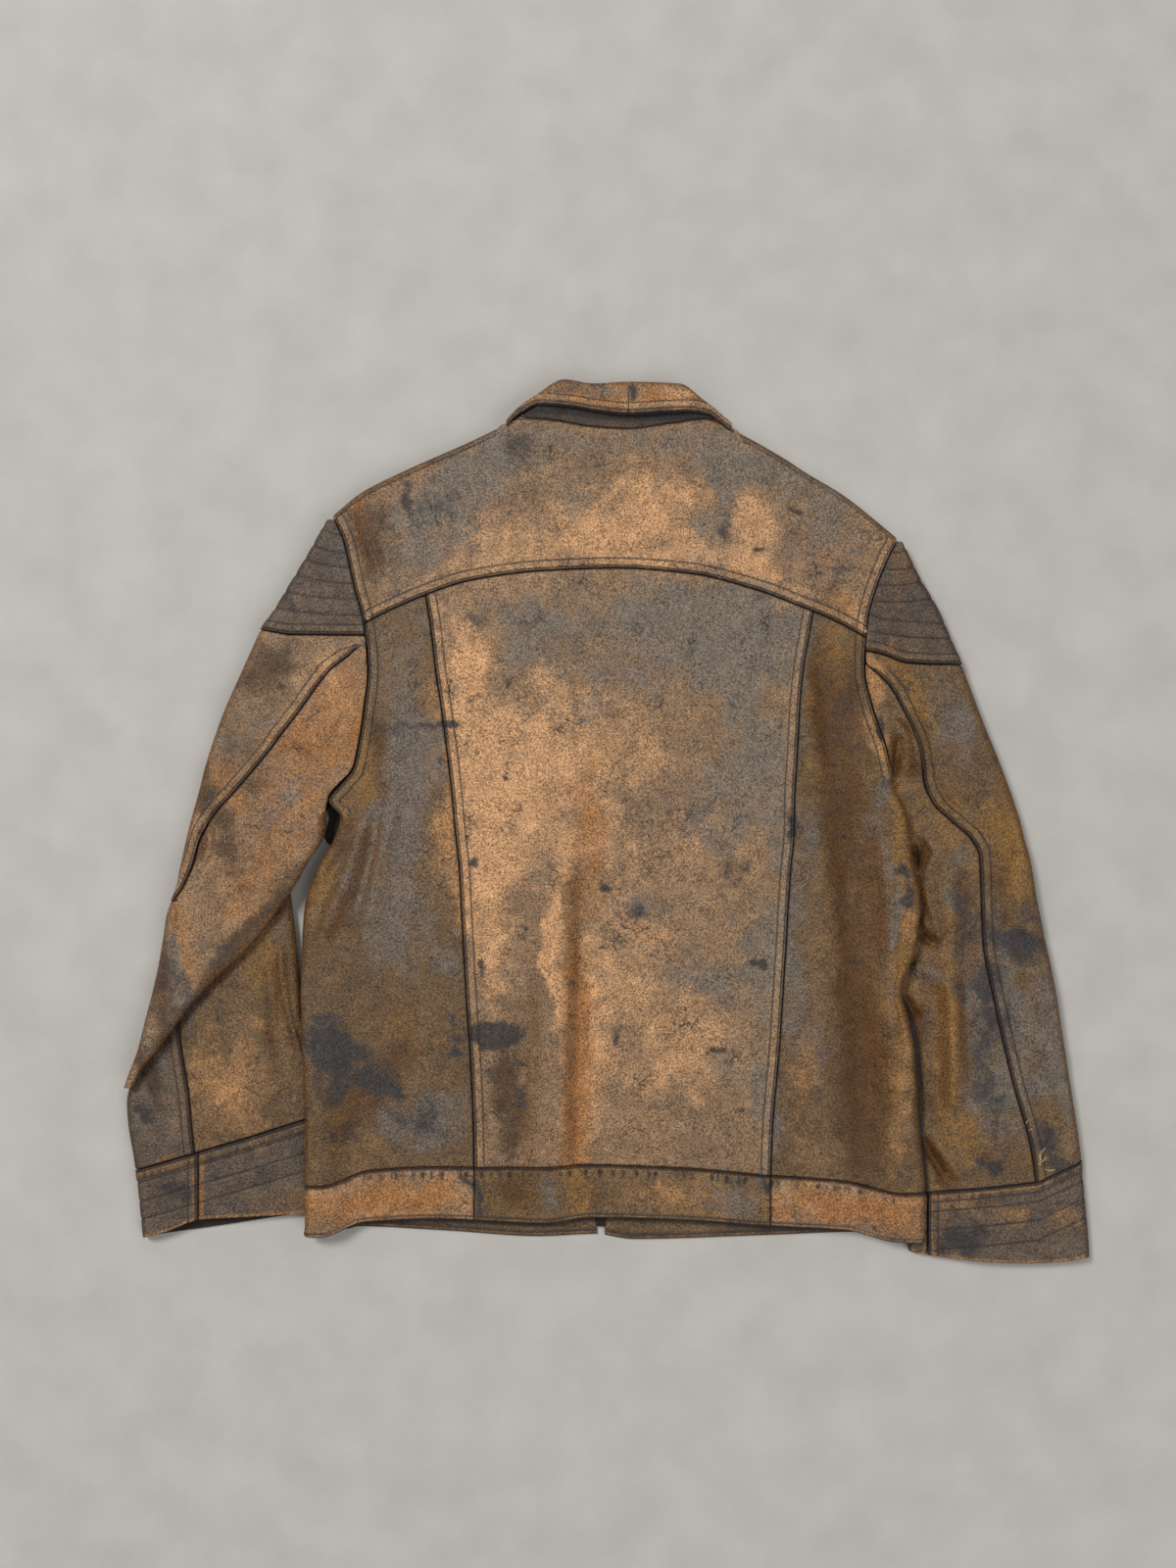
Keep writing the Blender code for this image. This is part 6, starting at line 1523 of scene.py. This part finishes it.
def makeZip():  # closed, face down; its lower end shows at the hem
    def tapeHeight(x, y):
        thickness = mix(jacket["wall"], jacket["bandWall"], ease((-290.0 - y) / 6.0))
        return neckLift(x, y) + thickness + 0.6

    low, high = -350.0, 258.0
    ys = np.linspace(low, high, 160)[:, None]
    wide = mix(8.0, zipParts["tapeWide"], ease((ys + 338.0) / 8.0))  # trimmed narrow below the back hem
    xs = jacket["zipX"] + np.linspace(0.5, -0.5, 9)[None, :] * wide
    x, y = xs, ys + 0 * xs
    z = tapeHeight(x, y)
    sew("zip_tape", x, y, z, [], zipParts["tapeThick"])
    tape = leatherPieces.pop("zip_tape")
    deselect()
    bpy.ops.mesh.primitive_cube_add(size=1)
    bpy.ops.object.mode_set(mode="EDIT")
    bpy.ops.mesh.select_all(action="SELECT")
    bpy.ops.transform.resize(value=(zipParts["toothWide"], 1.25, 1.2))
    bpy.ops.mesh.bevel(offset=0.25, segments=1, affect="EDGES")
    bpy.ops.object.mode_set(mode="OBJECT")
    points, faces = takeMesh()
    allPoints, allFaces, base = [], [], 0
    count = int((high - 16 - low - 6) / (zipParts["toothPitch"] / 2))
    for k in range(count):
        side = 1 if k % 2 else -1
        y = low + 6 + k * zipParts["toothPitch"] / 2
        x = jacket["zipX"] + side * 0.9
        z = float(neckLift(np.array(x), np.array(y))) + 0.85
        allPoints.append((points + [x - jacket["middleX"], y - jacket["middleY"], z]) * 0.001)
        allFaces.extend([[i + base for i in face] for face in faces])
        base += len(points)
    chain = joinParts("zip_teeth", [(allPoints, allFaces)])
    looseParts.pop("zip_teeth")
    deselect()
    top = float(follow(neckFront, np.array(jacket["zipX"]), "y")) - 3.0
    bpy.ops.mesh.primitive_cube_add(size=1)
    bpy.ops.object.mode_set(mode="EDIT")
    bpy.ops.mesh.select_all(action="SELECT")
    bpy.ops.transform.resize(value=(zipParts["sliderWide"], zipParts["sliderLong"], 1.4))
    bpy.ops.mesh.bevel(offset=0.35, segments=2, affect="EDGES")
    bpy.ops.object.mode_set(mode="OBJECT")
    slider = bpy.context.object
    slider.name = "zip_pull_body"
    for vertex in slider.data.vertices:
        narrow = 1.0 if vertex.co.y > 0 else 0.74
        x = jacket["zipX"] + vertex.co.x * narrow
        y = top - zipParts["sliderLong"] * 0.5 + vertex.co.y
        z = float(neckLift(np.array(jacket["zipX"]), np.array(top))) + 0.85 + vertex.co.z
        vertex.co = ((x - jacket["middleX"]) * 0.001, (y - jacket["middleY"]) * 0.001, z * 0.001)
    return tape, chain, slider


zipTape, zipTeeth, zipSlider = makeZip()
print("zip closed")


def colourOf(text):  # sRGB hex to linear
    values = [int(text[i:i + 2], 16) / 255 for i in (1, 3, 5)]
    linear = [v / 12.92 if v <= 0.04045 else ((v + 0.055) / 1.055) ** 2.4 for v in values]
    return (*linear, 1.0)


def addNode(tree, kind, inputs=None, **settings):  # a node with its settings, values and links
    node = tree.nodes.new(kind)
    for name, value in settings.items():
        setattr(node, name, value)
    for socket, value in (inputs or {}).items():
        if isinstance(value, bpy.types.NodeSocket):
            tree.links.new(value, node.inputs[socket])
        else:
            node.inputs[socket].default_value = value
    return node


# Colours of each leather: its own shades, what it turns to where it is rubbed, greyed or stained, and the browns of
# painted shade in hollows and on slopes.
leatherColours = {
    "tan": {"deep": "#6a523b", "base": "#8a6d50", "light": "#a47f58", "rubbed": "#cb996a", "ochre": "#a16b36",
            "grey": "#75695c", "paintedShadeAndBrown": "#4c3418", "stain": "#38312d", "strip": "#b58a60", "paintedSlopeShade": "#6a431d"},
    "brown": {"deep": "#4a3720", "base": "#6a5031", "light": "#856745", "rubbed": "#a87a4b", "ochre": "#855f27",
              "grey": "#6d6156", "paintedShadeAndBrown": "#523207", "stain": "#353130", "strip": "#7f613f", "paintedSlopeShade": "#5e3a0c"},
    "dark": {"deep": "#3c3026", "base": "#5b4b3d", "light": "#77634f", "rubbed": "#8f6840", "ochre": "#7f5a32",
             "grey": "#5f564f", "paintedShadeAndBrown": "#3d2a17", "stain": "#2e2a29", "strip": "#7d5f3e", "paintedSlopeShade": "#3a2817"},
}
leatherScale = {  # in metres; coarser than real hide, to be seen
    "smudge": 0.075, "mottle": 0.032, "patch": 0.026, "uneven": 0.012, "blotch": 0.0105, "crackle": 0.0055,
    "fleck": 0.0048, "grain": 0.0021, "speck": 0.0012, "scar": 0.02,
}


def makeLeather(name, colours):
    # Cowhide, drum dyed and waxed, then worn for years: satin where it is sound, dull and mottled where it is
    # rubbed through, with dark pits where dirt has settled in the grain.
    material = bpy.data.materials.new(name)
    material.use_nodes = True
    tree = material.node_tree
    tree.nodes.clear()
    place3d = addNode(tree, "ShaderNodeTexCoord").outputs["Object"]
    noises = {}
    for label, detail, roughness in (
        ("smudge", 4.0, 0.6), ("mottle", 5.0, 0.62), ("blotch", 5.0, 0.68), ("fleck", 3.0, 0.6),
        ("speck", 2.0, 0.6),
    ):
        noises[label] = addNode(tree, "ShaderNodeTexNoise", {
            "Vector": place3d, "Scale": 1 / leatherScale[label], "Detail": detail, "Roughness": roughness,
        }).outputs["Fac"]
    channels = {}
    for label in ("wear", "tone", "seams"):
        channels[label] = addNode(tree, "ShaderNodeSeparateColor", {
            0: addNode(tree, "ShaderNodeAttribute", attribute_name=label).outputs["Color"]}).outputs

    def ranged(value, low, high):
        return addNode(tree, "ShaderNodeMapRange", {"Value": value, "From Min": low, "From Max": high},
                       interpolation_type="SMOOTHSTEP").outputs["Result"]

    def worked(operation, a, b):
        return addNode(tree, "ShaderNodeMath", {0: a, 1: b}, operation=operation).outputs[0]

    # The edge of a stain or of painted shade is broken up, each kind in its own way, from patches down to the grain.
    edges = {}
    for label, source, channel, offset, reach in (
        ("tan", "wear", "Red", 0.3, 1.2), ("grey", "wear", "Green", 1.7, 1.0),
        ("dark", "wear", "Blue", 3.1, 0.9),
        ("ochre", "tone", "Red", 4.9, 1.3), ("paintedShadeAndBrown", "tone", "Green", 6.2, 1.4),
    ):
        moved = addNode(tree, "ShaderNodeVectorMath", {0: place3d, 1: (offset, offset, 0.0)},
                        operation="ADD").outputs[0]
        patchy = addNode(tree, "ShaderNodeTexNoise", {
            "Vector": moved, "Scale": 1 / leatherScale["patch"], "Detail": 6.0, "Roughness": 0.72,
        }).outputs["Fac"]
        strength = worked("ADD", channels[source][channel], worked("MULTIPLY", patchy, 2.0))
        edges[label] = ranged(strength, 1.47 - 0.3 * reach, 1.47 + 0.36 * reach)
    layers = [
        (ranged(noises["smudge"], 0.42, 0.64), "light", 0.5),
        (ranged(noises["mottle"], 0.56, 0.38), "deep", 0.35),
        (edges["tan"], "rubbed", 1.0),
        (edges["ochre"], "ochre", 0.95),
        (edges["grey"], "grey", 0.9),
        (ranged(noises["blotch"], 0.46, 0.3), "deep", 0.25),
        # painted shade in hollows and under edges, with some darker brown tone
        (edges["paintedShadeAndBrown"], "paintedShadeAndBrown", 0.95),
        # painted shade on slopes: darker the less the surface faces up
        (channels["tone"]["Blue"], "paintedSlopeShade", 0.65),
        (channels["seams"]["Green"], "strip", 0.25),
        (edges["dark"], "stain", 0.95),
    ]
    colour = colourOf(colours["base"])
    for mask, tint, amount in layers:
        colour = addNode(tree, "ShaderNodeMix", {
            0: worked("MULTIPLY", mask, amount), 6: colour, 7: colourOf(colours[tint]),
        }, data_type="RGBA").outputs[2]
    # The grain itself: pale on its tops, dark in its pits, coarse enough to see.
    uneven = addNode(tree, "ShaderNodeTexNoise", {
        "Vector": place3d, "Scale": 1 / leatherScale["uneven"], "Detail": 7.0, "Roughness": 0.76,
    }).outputs["Fac"]
    cobbled = addNode(tree, "ShaderNodeTexVoronoi", {
        "Vector": place3d, "Scale": 1 / leatherScale["grain"],
    }).outputs["Distance"]
    grainTone = worked("ADD", worked("MULTIPLY", noises["speck"], 4.0), worked("MULTIPLY", uneven, 1.6))
    grainTone = worked("SUBTRACT", grainTone, worked("MULTIPLY", cobbled, 0.75))
    grainTone = addNode(tree, "ShaderNodeMapRange", {
        "Value": grainTone, "From Min": 1.73, "From Max": 3.33, "To Min": 0.28, "To Max": 1.88,
    }).outputs["Result"]
    colour = addNode(tree, "ShaderNodeVectorMath", {0: colour, "Scale": grainTone},
                     operation="SCALE").outputs[0]
    warp = addNode(tree, "ShaderNodeVectorMath", {
        0: addNode(tree, "ShaderNodeTexNoise", {
            "Vector": place3d, "Scale": 60.0, "Detail": 2.0,
        }).outputs["Color"],
        1: (0.02, 0.02, 0.02),
    }, operation="MULTIPLY")
    warped = addNode(tree, "ShaderNodeVectorMath", {0: place3d, 1: warp.outputs[0]}, operation="ADD").outputs[0]
    cells = addNode(tree, "ShaderNodeTexVoronoi", {"Vector": warped, "Scale": 1 / leatherScale["scar"]},
                    feature="DISTANCE_TO_EDGE").outputs["Distance"]
    scars = worked("MULTIPLY", ranged(cells, 0.034, 0.014), ranged(noises["mottle"], 0.56, 0.66))
    fissures = addNode(tree, "ShaderNodeTexVoronoi", {"Vector": warped, "Scale": 1 / leatherScale["crackle"]},
                       feature="DISTANCE_TO_EDGE").outputs["Distance"]
    fissures = worked("MULTIPLY", ranged(fissures, 0.11, 0.05), ranged(noises["mottle"], 0.51, 0.66))
    beads = worked("MULTIPLY", channels["seams"]["Red"], ranged(noises["fleck"], 0.1, 0.5))
    for mask, tint, amount in (
        (ranged(noises["speck"], 0.6, 0.76), "#b98654", 0.2), (fissures, "#2f2620", 0.4),
        (scars, "#2b2523", 0.8), (beads, "#1d1c20", 0.95),
        # near black from the line attribute: stitch lines, puckers, and painted shade
        (channels["seams"]["Blue"], "#171210", 0.95),
    ):
        colour = addNode(tree, "ShaderNodeMix", {
            0: worked("MULTIPLY", mask, amount), 6: colour, 7: colourOf(tint),
        }, data_type="RGBA").outputs[2]
    rough = addNode(tree, "ShaderNodeMapRange", {
        "Value": noises["blotch"], "From Min": 0.3, "From Max": 0.7, "To Min": 0.42, "To Max": 0.64,
    }).outputs["Result"]
    heights = worked("ADD", worked("MULTIPLY", cobbled, -0.6), worked("MULTIPLY", noises["speck"], 0.9))
    fineBump = addNode(tree, "ShaderNodeBump", {"Height": heights, "Strength": 0.8, "Distance": 0.0009})
    creased = worked("ABSOLUTE", worked("SUBTRACT", noises["blotch"], 0.5), 0.0)
    bump = addNode(tree, "ShaderNodeBump", {
        "Height": creased, "Strength": 0.5, "Distance": 0.004, "Normal": fineBump.outputs["Normal"],
    })
    shader = addNode(tree, "ShaderNodeBsdfPrincipled", {
        "Base Color": colour, "Roughness": rough, "Normal": bump.outputs["Normal"], "IOR": 1.46,
    })
    addNode(tree, "ShaderNodeOutputMaterial", {"Surface": shader.outputs[0]})
    return material


def makePlain(name, first, second, size, roughness, metallic=0.0, relief=0.0002):
    material = bpy.data.materials.new(name)
    material.use_nodes = True
    tree = material.node_tree
    tree.nodes.clear()
    place3d = addNode(tree, "ShaderNodeTexCoord").outputs["Object"]
    noise = addNode(tree, "ShaderNodeTexNoise", {
        "Vector": place3d, "Scale": 1 / size, "Detail": 4.0,
    }).outputs["Fac"]
    tone = addNode(tree, "ShaderNodeMapRange", {
        "Value": noise, "From Min": 0.3, "From Max": 0.7,
    }).outputs["Result"]
    colour = addNode(tree, "ShaderNodeMix", {
        0: tone, 6: colourOf(first), 7: colourOf(second),
    }, data_type="RGBA").outputs[2]
    bump = addNode(tree, "ShaderNodeBump", {"Height": noise, "Strength": 0.5, "Distance": relief})
    shader = addNode(tree, "ShaderNodeBsdfPrincipled", {
        "Base Color": colour, "Roughness": roughness, "Metallic": metallic, "Normal": bump.outputs["Normal"],
    })
    addNode(tree, "ShaderNodeOutputMaterial", {"Surface": shader.outputs[0]})
    return material


leathers = {kind: makeLeather(kind + "WaxedCowhide", colours) for kind, colours in leatherColours.items()}
fleshSide = makePlain("brushedLining", "#1f1a18", "#2e2622", 0.003, 0.9)  # the dark lining bonded to the leather
cutEdge = makePlain("rawCutEdge", "#7a4a33", "#9b6345", 0.002, 0.8)  # unpainted leather fibre at a cut edge
threadFinish = makePlain("bondedThread", "#1f1a18", "#332a25", 0.002, 0.6)  # dark polyester with a low sheen
paleThread = makePlain("frayedThread", "#a98a68", "#d8c4a2", 0.002, 0.8)  # bare core thread, undyed
tapeFinish = makePlain("wovenTape", "#141212", "#25211f", 0.0012, 0.9)
brassFinish = makePlain("dulledBrass", "#8f7442", "#b3945a", 0.004, 0.42, 1.0, 0.00005)

leatherOf = {
    "tan": ["yoke", "back_centre", "band_left", "band_right", "sleeve_left_top", "sleeve_left_under",
            "collar_fall_left", "collar_fall_right"],
    "brown": ["back_side_left", "back_side_right", "band_back", "band_front_left", "band_front_right", "front_left",
              "front_right", "sleeve_right_top", "sleeve_right_under", "forearm_left_under", "collar_front_left",
              "collar_front_right"],
    "dark": ["cap_left", "cap_right", "forearm_left_top", "cuff_left_outer", "cuff_left_inner", "cuff_right_inner",
             "cuff_right_outer", "collar_stand"],
}
faced = ["band_front_left", "band_front_right", "sleeve_left_under"]  # the same leather on both sides
for kind, names in leatherOf.items():
    for name in names:
        piece = leatherPieces[name]
        inside = leathers[kind] if name in faced else fleshSide
        for k, finish in enumerate((leathers[kind], inside, cutEdge)):
            piece.data.materials[k] = finish
        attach(piece, "root")
        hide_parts(name)
for name, piece in looseParts.items():
    piece.data.materials.append(paleThread if name == "frayed_ends" else threadFinish)
    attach(piece, "root")
for piece, finish, node, slot in (
    (zipTape, tapeFinish, "zip_tape", "zip_tape"), (zipTeeth, brassFinish, "zip_chain", "zip_brass"),
    (zipSlider, brassFinish, "zip_slider", "zip_brass"),
):
    piece.data.materials.clear()
    piece.data.materials.append(finish)
    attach(piece, "root")
    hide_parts(node)
    for polygon in piece.data.polygons:
        polygon.material_index = 0

print("setting out the floor, lights and camera")
deselect()
bpy.ops.mesh.primitive_plane_add(size=8.0)
floor = bpy.context.object
floor.name = "floor"
floor.data.materials.append(makePlain("smoothConcrete", "#b7b3ac", "#c1bdb6", 0.05, 0.85, 0.0, 0.0001))

lamps = {"key": (-2.6, 2.4, 4.2, 1.6, 190.0), "fill": (2.4, -2.0, 3.2, 3.0, 52.0)}
for label, (x, y, z, size, power) in lamps.items():
    deselect()
    bpy.ops.object.light_add(type="AREA", location=(x, y, z))
    lamp = bpy.context.object
    lamp.name = label
    lamp.data.size = size
    lamp.data.energy = power
    lamp.rotation_euler = (Vector((0, 0, 0)) - Vector((x, y, z))).to_track_quat("-Z", "Y").to_euler()
world = bpy.data.worlds.new("studio")
bpy.context.scene.world = world
world.use_nodes = True
world.node_tree.nodes["Background"].inputs["Color"].default_value = colourOf("#e6e8ea")
world.node_tree.nodes["Background"].inputs["Strength"].default_value = 0.4

view = {"height": 1.25, "shown": 1.344, "surface": 0.017, "centreX": -17.6, "centreY": 33.2}
bpy.ops.object.camera_add(location=(
    (view["centreX"] - jacket["middleX"]) / 1000, (view["centreY"] - jacket["middleY"]) / 1000,
    view["height"] + view["surface"],
))
camera = bpy.context.object
camera.data.sensor_width = 36.0
camera.data.lens = 36.0 * view["height"] / view["shown"]
bpy.context.scene.camera = camera
bpy.context.scene.view_settings.view_transform = "Standard"

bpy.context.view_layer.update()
print("built in", round(time.time() - started, 1), "s")
